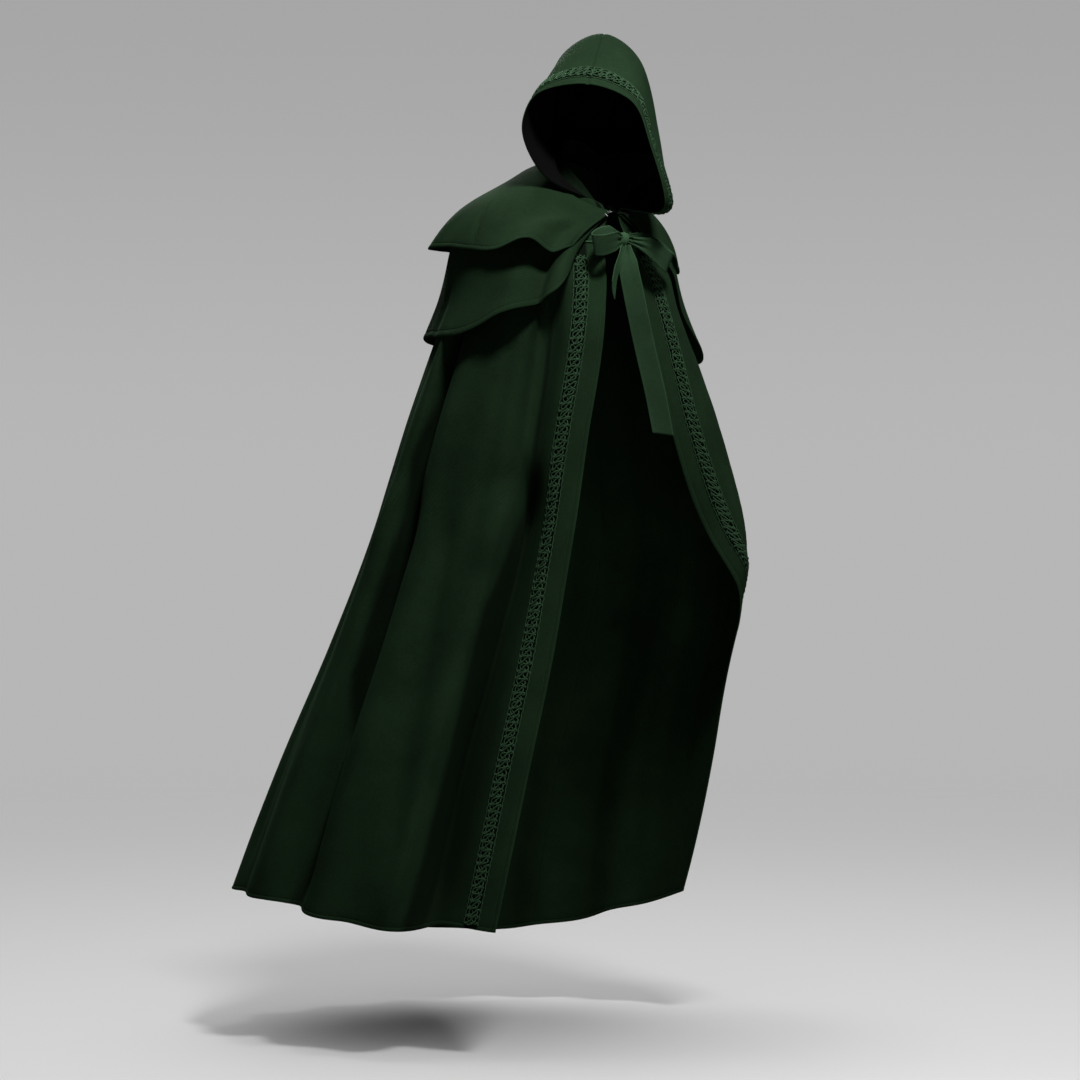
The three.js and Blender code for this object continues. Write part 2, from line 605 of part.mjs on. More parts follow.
// The bow's knot: a pinched band round the gathered ribbon.
function knot() {
  const shape = new THREE.SphereGeometry(1, 12, 8);
  shape.scale(...KNOT_HALF);
  shape.deleteAttribute("normal");
  shape.deleteAttribute("uv");
  return shape;
}

const wool = new THREE.MeshStandardMaterial({ color: 0x1f3a26, roughness: 0.92, metalness: 0 });
const braidCord = new THREE.MeshStandardMaterial({ color: 0x24452c, roughness: 0.75, metalness: 0 });
const ribbonCloth = new THREE.MeshStandardMaterial({ color: 0x21402a, roughness: 0.85, metalness: 0 });

const part = new THREE.Group();

function add(name, geometry, material) {
  const mesh = new THREE.Mesh(geometry, material);
  mesh.name = name;
  part.add(mesh);
  return mesh;
}

const frontRight = panelGrid((level) => frontColumns("right", level));
const frontLeft = panelGrid((level) => frontColumns("left", level));
add("cloak_front_right", cloakPanel(frontRight), wool);
add("cloak_back", cloakPanel(panelGrid(backColumns)), wool);
add("cloak_front_left", cloakPanel(frontLeft), wool);
add("capelet_lower", capeletPanel(CAPELETS.lower, 8), wool);
add("capelet_upper", capeletPanel(CAPELETS.upper, 6), wool);
add("hood_right", hoodHalf("right"), wool);
add("hood_left", hoodHalf("left"), wool);
add("collar", collar(), wool);
add("braid_front_right", frontBraid(frontRight, BRAID_GAPS.right), braidCord);
add("braid_front_left", frontBraid(frontLeft, BRAID_GAPS.left), braidCord);
add("braid_hood", hoodBraid(1 / HOOD_COLUMNS, 1 - 1 / HOOD_COLUMNS), braidCord);
for (const [name, rows] of Object.entries(TIES)) {
  const kind = name.split("_")[1];
  add(name, ribbon(rows, TIE_ROWS[kind]), ribbonCloth);
}
add("tie_knot", knot(), ribbonCloth).position.copy(KNOT);

export default part;
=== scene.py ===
import math

import bpy
import numpy as np
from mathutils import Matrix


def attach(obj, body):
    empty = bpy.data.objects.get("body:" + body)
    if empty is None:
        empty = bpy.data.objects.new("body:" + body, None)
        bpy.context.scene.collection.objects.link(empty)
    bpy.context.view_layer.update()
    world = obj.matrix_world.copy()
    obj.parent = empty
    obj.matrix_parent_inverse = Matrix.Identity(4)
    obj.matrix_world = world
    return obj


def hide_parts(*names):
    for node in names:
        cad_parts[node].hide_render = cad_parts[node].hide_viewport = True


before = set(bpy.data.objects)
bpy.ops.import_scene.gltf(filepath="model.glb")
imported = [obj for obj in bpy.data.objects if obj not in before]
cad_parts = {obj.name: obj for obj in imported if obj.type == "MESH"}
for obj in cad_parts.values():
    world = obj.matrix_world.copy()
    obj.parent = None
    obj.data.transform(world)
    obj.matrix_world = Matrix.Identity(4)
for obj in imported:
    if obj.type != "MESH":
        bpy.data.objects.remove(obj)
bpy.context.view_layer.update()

MM = 0.001

# Camera and floor
EYE = (-3.4555, -4.2813, -0.645)
EYE_AZIMUTH = -38
LENS = 98.6
SENSOR = 36
GROUND = -1.570

# Cloth
WOOL = 2.4
RIBBON = 1.4
SEAM_GAP = 0.3
HEM_STITCH = 9.0
HEM_STEPS = np.array([0, 0.5, 1.4, 3.4, 6.2, 8.1, 9.0, 9.9, 11.6])
SEWN = 6
SEAM_STEPS = np.array([-0.25, 1.2, 3.0, 6.0])
HOOD_RADIUS = 74.6
COLLAR = dict(radius=70, inward=21, throat=12, side=32, round=60)
NECK_HEIGHT = 15
NECK_TILT = 58
STREAM = 38
LAP_START = 320
LAP_END = 338
RIGHT_SEAM = 112
LEFT_SEAM = 232
LAST = 7
HIP = 4


def table(names, *rows):
    """The columns of a table by their names."""
    return dict(zip(names.split(), np.array(rows, float).T))


# Sections of the cloak from neck to hem, in a frame turned by turn: reaches of the trailing and the
# leading side, the front and the back, and the bearings of the two front edges.
CLOAK = table(
    "z rise_far rise_out rise_in turn out into near far lap start end",
    (13, 58, 0, 0, 0, 77.6, 77.6, 77.6, 77.6, 77.6, 8, 352),
    (-78, 34, 10, 4, 0.5, 224, 140, 130, 146, 100, 10, 352),
    (-222, 6, 4, 0, 1, 262, 170, 178, 178, 102, 17, 355),
    (-436, 0, 6, 6, 1, 338, 243, 199, 205, 88, 28, 355),
    (-655, -8, 15, 15, 1, 403, 298, 206, 250, 22, 34, 345),
    (-880, -20, 34, 45, 1, 483, 282, 221, 320, 30, 32.6, 302),
    (-1120, -32, 62, 80, 1, 573, 256, 239, 390, 30, 31.6, 294),
    (-1389, -40, 84, 104, 1, 668, 250, 251, 440, 30, 32.6, 279),
)

# Folds: soft troughs that deepen towards the hem.
FOLDS = table(
    "at sway hip hem start before after",
    (45, 8, 20, 40, 1.7, 11, 6),
    (68, 3, 2, 10, 3.4, 7, 5),
    (88, 8, 18, 28, 1.9, 6, 9),
    (112, 3, 3, 15, 3.6, 7, 7),
    (143, -4, 16, 40, 2.2, 9, 7),
    (165, 3, 20, 48, 1.9, 7, 9),
    (188, -3, 16, 40, 2.1, 9, 7),
    (211, 4, 22, 50, 1.8, 8, 9),
    (233, -2, 12, 34, 2.6, 7, 8),
    (254, 3, 8, 26, 3.2, 7, 7),
)
FOLD_LIFT = 0.4
FOLD_RAMP = 1.6

# Creases laid over the folds. Each runs from one bearing and level to another; a depth below zero is a
# ridge. before and after are its half widths in degrees on the side of smaller and larger bearings.
CREASES = table(
    "at to start end depth before after",
    (40, 50, 1.4, 4.2, 20, 4.5, 1.8),
    (50.5, 50, 3.2, 7.4, 62, 5.2, 1.7),
    (46, 55, 1.6, 4.3, -12, 1.8, 4.5),
    (56.5, 57, 3.4, 7.4, -24, 2.2, 7.0),
    (92.5, 99.5, 1.6, 4.1, 26, 3.2, 1.5),
    (97, 88, 3.4, 7.4, 38, 7.0, 2.0),
    (96.5, 104.5, 1.7, 4.3, -15, 2.0, 6.0),
    (103.5, 95, 3.4, 7.4, -18, 2.2, 8.0),
    (84, 87, 2.2, 5.0, -4, 4.0, 3.0),
    (60, 66, 1.9, 4.4, 5, 3.0, 3.6),
    (78, 57, 3.4, 6.9, 9, 4.0, 4.6),
    (76, 80, 3.4, 7.2, -3.5, 3.6, 3.6),
    (102, 104, 2.4, 6.2, 4, 3.0, 3.0),
    (121, 118, 2.2, 7.2, 5, 3.0, 3.6),
    (131, 129, 3.0, 7.2, -5, 4.0, 3.0),
    (153, 155, 2.0, 7.2, -6, 3.6, 3.0),
    (158, 150, 1.7, 3.4, 5, 2.4, 2.4),
    (176, 178, 2.4, 7.2, -6, 3.0, 4.0),
    (172, 181, 1.8, 3.2, 5, 2.6, 2.2),
    (199, 197, 2.0, 7.2, -7, 3.4, 3.4),
    (206, 200, 1.7, 3.8, 5, 2.2, 2.8),
    (222, 224, 2.6, 7.2, -6, 3.6, 3.2),
    (243, 245, 2.4, 7.2, -4, 4.0, 3.0),
    (262, 264, 3.0, 7.2, 4, 3.0, 3.0),
    (330, 318, 2.2, 4.2, 4, 4.0, 3.0),
    (300, 292, 2.4, 5.4, 5, 4.0, 4.0),
    (282, 276, 2.6, 6.6, -4, 4.0, 4.0),
    (316, 306, 1.9, 3.6, -3, 4.0, 4.0),
)

# The two deep hollows of the right front, by level: painted shade, the cloth's colour is darkened where it lies
# in its own shade.
PAINTED_SHADE_HOLLOWS = table(
    "level outer inner spread",
    (1.9, 93, 43.5, 2.2), (2.31, 94.8, 44.6, 2.4), (2.77, 96.5, 46, 2.8), (3.32, 100, 48.2, 3.2),
    (3.93, 99.2, 51.7, 4.0), (4.61, 98, 54.6, 6.5), (5.24, 96, 54, 8.5), (5.79, 91, 52.8, 9.0),
    (6.47, 89.8, 52.5, 9.0), (7.4, 89.5, 54, 9.0),
)
PAINTED_SHADE_BANK = 0.8
PAINTED_SHADE_STRENGTH = 0.72

# Hems of the two capelets by bearing: the level of the cloak that they reach and their stand-off.
UPPER_HEM = table(
    "at level stand",
    (34, 1.12, 22), (44, 1.28, 44), (55, 1.14, 56), (72, 1.28, 38), (90, 1.3, 24), (108, 1.32, 30),
    (130, 1.4, 52), (152, 1.42, 30), (176, 1.5, 44), (200, 1.5, 24), (224, 1.5, 42), (250, 1.5, 24),
    (272, 1.56, 44), (290, 1.56, 26), (306, 1.34, 19), (326, 1.14, 17),
)
LOWER_HEM = table(
    "at level stand",
    (34, 1.3, 10), (42, 1.8, 44), (50, 1.96, 42), (66, 2.1, 40), (86, 2.28, 28), (104, 2.29, 16),
    (126, 2.28, 14), (150, 2.34, 32), (176, 2.36, 14), (200, 2.38, 34), (225, 2.4, 15),
    (250, 2.42, 36), (270, 2.5, 44), (284, 2.46, 44), (296, 1.96, 12), (309, 1.6, 10), (326, 1.2, 9),
)
LOWER = dict(hem=LOWER_HEM, rest=WOOL + SEAM_GAP, ease=5)
UPPER = dict(hem=UPPER_HEM, rest=2 * (WOOL + SEAM_GAP), ease=9)
EASE_END = 0.2
FLARE = 2.8
CAPELET_FRONT = 6
CAPELET_CORNER = 34
CAPELET_SPREAD = 30

# Creases of the capelets, from one bearing to another, between two shares of the way to the hem.
LOWER_CREASES = table(
    "at to start end depth before after",
    (53, 52, 0.50, 1.25, 20, 2.4, 6.5),
    (45, 46, 0.45, 1.25, -9, 4.0, 3.4),
    (68, 66, 0.55, 1.25, -6, 6.0, 6.0),
    (78, 74, 0.70, 1.2, 3, 6.0, 6.0),
    (96, 92, 0.60, 1.2, -2, 5.0, 5.0),
    (112, 116, 0.66, 1.2, 4, 4.0, 5.0),
    (138, 135, 0.60, 1.2, -3, 6.0, 5.0),
    (164, 166, 0.62, 1.2, 5, 4.0, 5.0),
    (190, 187, 0.60, 1.2, 4, 5.0, 4.0),
    (213, 214, 0.62, 1.2, 5, 4.0, 5.0),
    (238, 236, 0.60, 1.2, 4, 5.0, 4.0),
    (259, 262, 0.64, 1.2, 4, 4.0, 5.0),
    (292, 292, 0.60, 1.2, 4, 4.0, 4.0),
)
UPPER_CREASES = table(
    "at to start end depth before after",
    (48, 44, 0.45, 1.25, 12, 3.0, 6.0),
    (60, 58, 0.50, 1.25, -7, 5.0, 6.0),
    (110, 86, 0.46, 1.00, 6, 1.3, 1.3),
    (80, 78, 0.55, 1.2, 3, 5.0, 5.0),
    (99, 98, 0.62, 1.2, 3, 5.0, 4.0),
    (119, 122, 0.58, 1.2, -3, 5.0, 5.0),
    (142, 141, 0.60, 1.2, 5, 4.0, 5.0),
    (164, 166, 0.60, 1.2, 4, 5.0, 4.0),
    (188, 190, 0.58, 1.2, 4, 5.0, 5.0),
    (212, 211, 0.60, 1.2, -3, 5.0, 5.0),
    (236, 238, 0.60, 1.2, 4, 5.0, 4.0),
    (262, 261, 0.60, 1.2, 3, 4.0, 5.0),
    (297, 296, 0.55, 1.2, 4, 4.0, 4.0),
)

# Arches of the hood from rim to nape.
HOOD_FORWARD = 50
HOOD_BACK = 0.55
SQUARE_RIGHT = 0.78
SQUARE_LEFT = 0.7
TRAIL = 3
TUCK = 0.35
NAPE_START = 0.84
HOOD_LIFT = 9
HOOD_SEAM = 0.012
HOOD_TUCK = 6
HOOD_RIGHT = table(
    "turn ahead crown half wide low drop neck",
    (54, 116, 180, 125, 108, 94, 24, 7),
    (54, 80, 214, 116, 112, 88, 30, 20),
    (54, 42, 258, 104, 120, 84, 42, 36),
    (52, 0, 288, 102, 130, 97, 54, 54),
    (46, -52, 276, 106, 136, 114, 66, 72),
    (36, -88, 220, 102, 128, 104, 76, 90),
    (20, -92, 160, 90, 116, 90, 84, 106),
    (4, -88, 114, 80, 102, 80, 86, 118),
)
HOOD_LEFT = table(
    "turn ahead crown half wide low drop neck",
    (54, 116, 180, 118, 58, 132, -44, 7),
    (54, 80, 214, 112, 74, 138, -36, 20),
    (54, 42, 258, 102, 104, 122, 0, 36),
    (52, 0, 288, 93, 130, 104, 34, 54),
    (46, -52, 276, 88, 140, 92, 56, 72),
    (36, -88, 220, 86, 126, 88, 70, 90),
    (20, -92, 156, 84, 114, 84, 80, 106),
    (4, -88, 114, 80, 102, 80, 86, 118),
)
# Creases of the hood: lines from one place to another, as shares round an arch and from rim to nape.
HOOD_CREASES = table(
    "around along around_end along_end width depth",
    (0.10, 0.20, 0.24, 0.62, 0.020, 6),
    (0.06, 0.34, 0.18, 0.80, 0.020, 5),
    (0.20, 0.16, 0.33, 0.40, 0.016, -3),
    (0.30, 0.52, 0.40, 0.80, 0.022, 4),
    (0.72, 0.45, 0.88, 0.25, 0.020, 5),
    (0.66, 0.72, 0.86, 0.50, 0.020, 5),
    (0.44, 0.66, 0.56, 0.70, 0.018, 3),
    (0.84, 0.12, 0.93, 0.40, 0.018, 4),
)

INNER_PAINTED_SHADE = 0.15
# Where the hood's inside is painted near-black as shade: shares in from its sides and from rim to nape.
INSIDE_SHADE_SIDE = 0.16
INSIDE_SHADE_BACK = 0.5
BRAID_WIDTH = 27
BRAID_INSET = 48
BRAID_TOP = 1.2
HOOD_BRAID = 0.72
HOOD_BRAID_SPACE = 46
BRAID_PITCH = 27
CORD = 1.25
EDGE_CORD = 0.85
# Strands of the braid: phase, reach to either side and how far they curl back, as a share of the pitch.
PLAIT_STRANDS = (
    (0, 0.80, 0.17), (math.pi, 0.80, 0.17), (math.pi / 2, 0.62, -0.04), (3 * math.pi / 2, 0.62, -0.04),
)
STITCH_PITCH = 3.8
THREAD_RADIUS = 0.36

# Bow and hooks
HOOK_INSET = 0.006
HOOK_LEVELS = (0.05, 0.14, 0.23)
TIE_WIDTH = 38
KNOT = np.array([-13, -122, -96])
KNOT_HALF = (10, 8.5, 12.5)
BAND_LEVEL = 0.82
BAND_OFF = 3.6


def at_row(rows, key, row):
    """A column of a table at fractional rows, on a Catmull-Rom curve."""
    values = rows[key]
    last = len(values) - 1
    i = np.clip(np.floor(row).astype(int), 0, last - 1)
    f = row - i
    before, here = values[np.maximum(i - 1, 0)], values[i]
    there, after = values[i + 1], values[np.minimum(i + 2, last)]
    leaving = (there - before) / np.where(i == 0, 1, 2)
    arriving = (after - here) / np.where(i == last - 1, 1, 2)
    return (
        (2 * f**3 - 3 * f**2 + 1) * here
        + (f**3 - 2 * f**2 + f) * leaving
        + (3 * f**2 - 2 * f**3) * there
        + (f**3 - f**2) * arriving
    )


def row_at(rows, bearing):
    """Fractional rows of a table by bearing."""
    return np.interp(bearing, rows["at"], np.arange(len(rows["at"])))


def smooth(low, high, x):
    f = np.clip((x - low) / (high - low), 0, 1)
    return f * f * (3 - 2 * f)


def mix(a, b, f):
    return a + (b - a) * f


def unit(vectors):
    return vectors / np.maximum(np.linalg.norm(vectors, axis=-1, keepdims=True), 1e-9)


def stack(*parts):
    return np.stack(np.broadcast_arrays(*parts), axis=-1)


def normals_of(surface, p, q, dp, dq):
    """Outward normals of a surface that is given as a function of two arrays."""
    along_p = surface(p + dp, q) - surface(p - dp, q)
    along_q = surface(p, q + dq) - surface(p, q - dq)
    return unit(np.cross(along_p, along_q))


def rumple(p, q, size, seed, stretch=3.0):
    """A gentle unevenness, longer along q than along p, both in millimetres."""
    chance = np.random.default_rng(seed)
    total = 0
    for _ in range(7):
        wave = chance.uniform(90, 260)
        angle = chance.uniform(-0.6, 0.6)
        turn = chance.uniform(0, 2 * math.pi)
        run = p * math.cos(angle) + q * math.sin(angle) / stretch
        total = total + np.sin(2 * math.pi * run / wave + turn)
    return size * total / 7


def crease_depth(creases, at, level, ramp):
    """How deep a set of creases is at bearings and levels."""
    total = 0
    for at0, to, start, end, depth, before, after in zip(*creases.values()):
        middle = mix(at0, to, np.clip((level - start) / (end - start), 0, 1))
        width = np.where(at < middle, before, after)
        fade = smooth(start, start + ramp, level) * (1 - smooth(end - ramp, end, level))
        total = total + depth * fade * np.exp(-(((at - middle) / width) ** 2))
    return total


def drape(bearing, level):
    """The cloak without its folds."""
    get = lambda key: at_row(CLOAK, key, level)
    turn = get("turn") * STREAM
    a = np.radians(bearing - turn)
    out, into, near, far = get("out"), get("into"), get("near"), get("far")
    middle_side, middle_depth = (into - out) / 2, (far - near) / 2
    round_it = (bearing - turn + 360) % 360
    leading = np.where(round_it > 270, 1 - smooth(LAP_START, LAP_END, round_it), 0)
    depth = mix((far + near) / 2, get("lap") + middle_depth, leading)
    side = middle_side - np.sin(a) * (out + into) / 2
    back = middle_depth - np.cos(a) * depth
    rise = np.where(np.sin(a) > 0, get("rise_out"), get("rise_in"))
    z = get("z") - get("rise_far") * np.cos(a) + rise * np.sin(a) ** 2
    c, s = np.cos(np.radians(turn)), np.sin(np.radians(turn))
    return stack(side * c + back * s, -side * s + back * c, z)


def drape_normal(bearing, level):
    return normals_of(drape, bearing, level, 0.5, 0.01)


def cloak(bearing, level):
    """The cloak's cloth with its folds, creases and unevenness."""
    depth = 0
    for at, sway, hip, hem, start, before, after in zip(*FOLDS.values()):
        ramp = smooth(start, start + FOLD_RAMP, level)
        full = mix(hip, hem, np.maximum(level - HIP, 0) / (LAST - HIP))
        middle = at + sway * np.sin(np.pi * (level - 1) / (LAST - 1))
        width = np.where(bearing < middle, before, after)
        depth = depth + full * ramp * np.exp(-(((bearing - middle) / width) ** 2))
    lift = FOLD_LIFT * depth
    depth = depth + crease_depth(CREASES, bearing, level, 0.7)
    depth = depth + rumple(bearing * 6, level * 200, 3.0, 3) * smooth(1.0, 2.6, level)
    point = drape(bearing, level) - drape_normal(bearing, level) * depth[..., None]
    return point + stack(0, 0, lift)


def cloak_normal(bearing, level):
    return normals_of(cloak, bearing, np.clip(level, 0.02, LAST - 0.02), 0.4, 0.012)


def painted_fold_shade(bearing, level):
    """How much painted shade of a deep fold darkens a point's colour: sharp on its bank, fading before it."""
    total = 0
    for key in ("outer", "inner"):
        before = np.interp(level, PAINTED_SHADE_HOLLOWS["level"], PAINTED_SHADE_HOLLOWS[key]) - bearing
        width = np.where(before > 0, np.interp(level, PAINTED_SHADE_HOLLOWS["level"], PAINTED_SHADE_HOLLOWS["spread"]), PAINTED_SHADE_BANK)
        total = total + np.exp(-((before / width) ** 2))
    return total * smooth(1.7, 2.6, level)


def capelet(shape, u, s):
    """A capelet: u runs from its right front edge to its left one, s from the neck to the hem."""
    front = mix(CAPELET_FRONT, CAPELET_SPREAD, s)
    bearing = mix(front, 360 - front, u)
    at = mix(CAPELET_CORNER, 360 - CAPELET_CORNER, u)
    row = row_at(shape["hem"], at)
    level = s * at_row(shape["hem"], "level", row)
    clear = shape["rest"] + shape["ease"] * smooth(0, EASE_END, s)
    stand = mix(clear, at_row(shape["hem"], "stand", row), np.maximum(s, 0) ** FLARE)
    stand = stand - crease_depth(shape["creases"], at, s, 0.25)
    stand = stand + rumple(at * 4, s * 300, 2.0, shape["seed"], 1.6) * smooth(0.3, 0.8, s)
    return drape(bearing, level) + drape_normal(bearing, level) * stand[..., None]


LOWER.update(creases=LOWER_CREASES, seed=11)
UPPER.update(creases=UPPER_CREASES, seed=12)


def neck_point(bearing, radius, lift):
    a = np.radians(bearing)
    height = NECK_HEIGHT - NECK_TILT * np.cos(a)
    return stack(-radius * np.sin(a), -radius * np.cos(a), height + lift)


def curve_point(points, u):
    """Places on centripetal Catmull-Rom curves: points is (count, n, 3) and u holds n shares."""
    count = len(points)
    ends = np.concatenate([[2 * points[0] - points[1]], points, [2 * points[-1] - points[-2]]])
    x = np.clip(u, 0, 1) * (count - 1)
    i = np.minimum(np.floor(x).astype(int), count - 2)
    w = (x - i)[:, None]
    n = np.arange(len(u))
    p0, p1, p2, p3 = (ends[i + k, n] for k in range(4))
    gap = lambda a, b: np.maximum(np.linalg.norm(b - a, axis=-1) ** 0.5, 1e-3)[:, None]
    d0, d1, d2 = gap(p0, p1), gap(p1, p2), gap(p2, p3)
    t1 = ((p1 - p0) / d0 - (p2 - p0) / (d0 + d1) + (p2 - p1) / d1) * d1
    t2 = ((p2 - p1) / d1 - (p3 - p1) / (d1 + d2) + (p3 - p2) / d2) * d1
    return p1 + t1 * w + (3 * (p2 - p1) - 2 * t1 - t2) * w**2 + (2 * (p1 - p2) + t1 + t2) * w**3


def arch_points(rows, s, side):
    """The points an arch passes on one side, from its crown to the neckline."""
    get = lambda key: at_row(rows, key, s * (len(rows[key]) - 1))
    turn = np.radians(get("turn"))
    forward = HOOD_FORWARD * smooth(1, HOOD_BACK, s)
    ahead = get("ahead")

    def spot(across, ahead, height):
        return stack(
            side * across * np.cos(turn) - ahead * np.sin(turn),
            -forward - side * across * np.sin(turn) - ahead * np.cos(turn),
            height,
        )

    square = SQUARE_RIGHT if side < 0 else SQUARE_LEFT
    neck = get("neck") if side < 0 else 360 - get("neck")
    base = neck_point(neck, HOOD_RADIUS, HOOD_LIFT)
    base_ahead = -base[..., 0] * np.sin(turn) - (base[..., 1] + forward) * np.cos(turn)
    return [
        spot(0, ahead, get("crown")),
        spot(square * get("half"), ahead - TRAIL, mix(get("wide"), get("crown"), square)),
        spot(get("half"), ahead - 2 * TRAIL, get("wide")),
        spot(get("low"), mix(ahead, base_ahead, TUCK), get("drop")),
        base,
    ]


def hood(u, s):
    """The hood without its creases: u runs over an arch from the right, s from rim to nape."""
    u, s = np.broadcast_arrays(np.asarray(u, float), np.asarray(s, float))
    form = u.shape
    u, s = u.ravel(), s.ravel()
    right = arch_points(HOOD_RIGHT, s, -1)
    left = arch_points(HOOD_LEFT, s, 1)
    arch = curve_point(np.array(right[::-1] + left[1:]), u)
    nape = HOOD_RIGHT["neck"][-1]
    seam = neck_point(mix(nape, 360 - nape, u), HOOD_RADIUS, HOOD_LIFT)
    edge = np.minimum(np.minimum(u, 1 - u), 1 - s) / HOOD_SEAM
    drop = (HOOD_LIFT + HOOD_TUCK) * (1 - np.clip(edge, 0, 1))
    point = mix(arch, seam, smooth(NAPE_START, 1, s)[:, None])
    point[:, 2] -= drop
    return point.reshape(*form, 3)


def plain_hood_normal(u, s):
    return normals_of(hood, np.clip(u, 0.004, 0.996), np.clip(s, 0.004, 0.996), 0.003, 0.003)


def hood_cloth(u, s):
    """The hood's cloth with its creases and the sunken seam over its middle."""
    depth = 0
    for u0, s0, u1, s1, width, deep in zip(*HOOD_CREASES.values()):
        run = np.array([u1 - u0, (s1 - s0) / 2])
        f = ((u - u0) * run[0] + (s - s0) / 2 * run[1]) / (run @ run)
        near = np.clip(f, 0, 1)
        away = np.hypot(u - u0 - near * run[0], (s - s0) / 2 - near * run[1])
        depth = depth + deep * np.exp(-((away / width) ** 2)) * np.sin(np.pi * np.clip(f, 0.08, 0.92))
    fade = smooth(0, 0.1, u) * smooth(1, 0.9, u) * smooth(1, 0.85, s)
    depth = (depth + rumple(u * 800, s * 400, 2.6, 21, 1.0)) * fade
    depth = depth + 1.4 * np.exp(-(((u - 0.5) * 800 / 3.0) ** 2))
    return hood(u, s) - plain_hood_normal(u, s) * depth[..., None]


def hood_normal(u, s):
    return normals_of(hood_cloth, np.clip(u, 0.004, 0.996), np.clip(s, 0.004, 0.996), 0.002, 0.002)


def hem_swell(distance):
    """How far a turned and stitched hem swells at a distance from its edge."""
    swell = 0.55 * np.sin(np.pi * np.clip(distance / HEM_STITCH, 0, 1))
    groove = 0.75 * np.exp(-(((distance - HEM_STITCH) / 0.8) ** 2))
    edge = 0.85 * np.exp(-((distance / 0.8) ** 2))
    return swell - groove - edge


def seam_dip(distance):
    """How far the cloth dips to a seam at a distance from it."""
    return -0.8 * np.exp(-((distance / 2.6) ** 2))


def places(length, start, end, plain):
    """Places along each of several lengths: fixed steps in from either end and even ones between."""
    length = np.atleast_1d(length)[None, :]
    first = np.repeat(start[:, None], length.shape[1], axis=1)
    last = length - end[::-1, None]
    share = np.linspace(0, 1, plain + 2)[1:-1, None]
    return np.concatenate([first, mix(first[-1:], last[:1], share), last])


def arc(points, axis):
    """Lengths along a grid of points, from its first row or column."""
    step = np.linalg.norm(np.diff(points, axis=axis), axis=-1)
    zero = np.zeros_like(np.take(step, [0], axis=axis))
    return np.concatenate([zero, np.cumsum(step, axis=axis)], axis=axis)


def mesh_object(name, points, faces, uv=None, attributes=None):
    """A mesh object from points in millimetres and faces, with smooth faces."""
    mesh = bpy.data.meshes.new(name)
    mesh.from_pydata((points * MM).tolist(), [], [list(face) for face in faces])
    mesh.shade_smooth()
    if uv is not None:
        layer = mesh.uv_layers.new(name="cloth")
        corner = np.empty(len(mesh.loops), np.int32)
        mesh.loops.foreach_get("vertex_index", corner)
        layer.data.foreach_set("uv", (uv[corner] * MM).astype(np.float32).ravel())
    for key, values in (attributes or {}).items():
        layer = mesh.attributes.new(key, "FLOAT", "POINT")
        layer.data.foreach_set("value", values.astype(np.float32).ravel())
    piece = bpy.data.objects.new(name, mesh)
    bpy.context.collection.objects.link(piece)
    return piece


def grid_faces(rows, columns, offset=0, flip=False):
    i = np.arange(rows - 1)[:, None] * columns + np.arange(columns - 1)[None, :] + offset
    quad = np.stack([i, i + columns, i + columns + 1, i + 1], axis=-1).reshape(-1, 4)
    return quad[:, ::-1] if flip else quad


def wall(name, middle, outward, half, edge, front=None, shaded=None, inner=None, dark_inside=None):
    """A closed wall of cloth from a grid of middle points, their outward directions and the half
    thickness, with a UV map in metres. Its attributes are the distances to the nearest edge and, on the
    face, to the edge that a braid follows, and which side is the inner one."""
    rows, columns = middle.shape[:2]
    offset = outward * half[..., None]
    points = np.concatenate([(middle + offset).reshape(-1, 3), (middle - offset).reshape(-1, 3)])
    count = rows * columns
    ring = np.concatenate([
        np.arange(columns),
        np.arange(1, rows) * columns + columns - 1,
        np.arange(columns - 2, -1, -1) + (rows - 1) * columns,
        np.arange(rows - 2, 0, -1) * columns,
    ])
    following = np.roll(ring, -1)
    rim = np.stack([ring, following, following + count, ring + count], axis=-1)
    faces = np.concatenate([
        grid_faces(rows, columns),
        grid_faces(rows, columns, count, flip=True),
        rim,
    ])
    a, b, c = (points[faces[:, k]] for k in range(3))
    if np.einsum("ij,ij->", a, np.cross(b, c)) < 0:
        faces = faces[:, ::-1]
    uv = stack(arc(middle, 1), arc(middle, 0)).reshape(-1, 2)
    blank = np.zeros(count)
    attributes = {
        "edge": np.tile(edge.ravel() * MM, 2),
        "inside": np.concatenate([blank, blank + 1]),
        "front": np.concatenate([blank if front is None else front.ravel() * MM, blank]),
        # painted shade: how much the deep folds darken the colour of the face
        "painted_fold_shade": np.concatenate([blank if shaded is None else shaded.ravel(), blank]),
    }
    piece = mesh_object(name, points, faces, np.concatenate([uv, uv]), attributes)
    # The marked inner faces take a second material: the near-black painted shade of the hood's inside.
    if inner:
        piece.data.materials.append(WOOL_CLOTH)
        piece.data.materials.append(inner)
        cells = (rows - 1) * (columns - 1)
        second = np.zeros(len(faces), np.int32)
        second[cells:2 * cells] = dark_inside[:-1, :-1].ravel()
        piece.data.polygons.foreach_set("material_index", second)
    return piece


# Shader helpers


def node(tree, kind, inputs=None, **settings):
    """A node with its settings and inputs; an input may be a value or another node's output."""
    made = tree.nodes.new(kind)
    for key, value in settings.items():
        setattr(made, key, value)
    for key, value in (inputs or {}).items():
        if isinstance(value, bpy.types.NodeSocket):
            tree.links.new(value, made.inputs[key])
        else:
            made.inputs[key].default_value = value
    return made


def math_node(tree, operation, *values):
    made = node(tree, "ShaderNodeMath", operation=operation)
    for i, value in enumerate(values):
        if isinstance(value, bpy.types.NodeSocket):
            tree.links.new(value, made.inputs[i])
        else:
            made.inputs[i].default_value = value
    return made.outputs[0]


def vector_node(tree, operation, *values):
    made = node(tree, "ShaderNodeVectorMath", operation=operation)
    for i, value in enumerate(values):
        slot = made.inputs["Scale"] if operation == "SCALE" and i == 1 else made.inputs[i]
        if isinstance(value, bpy.types.NodeSocket):
            tree.links.new(value, slot)
        else:
            slot.default_value = value
    return made.outputs[0]


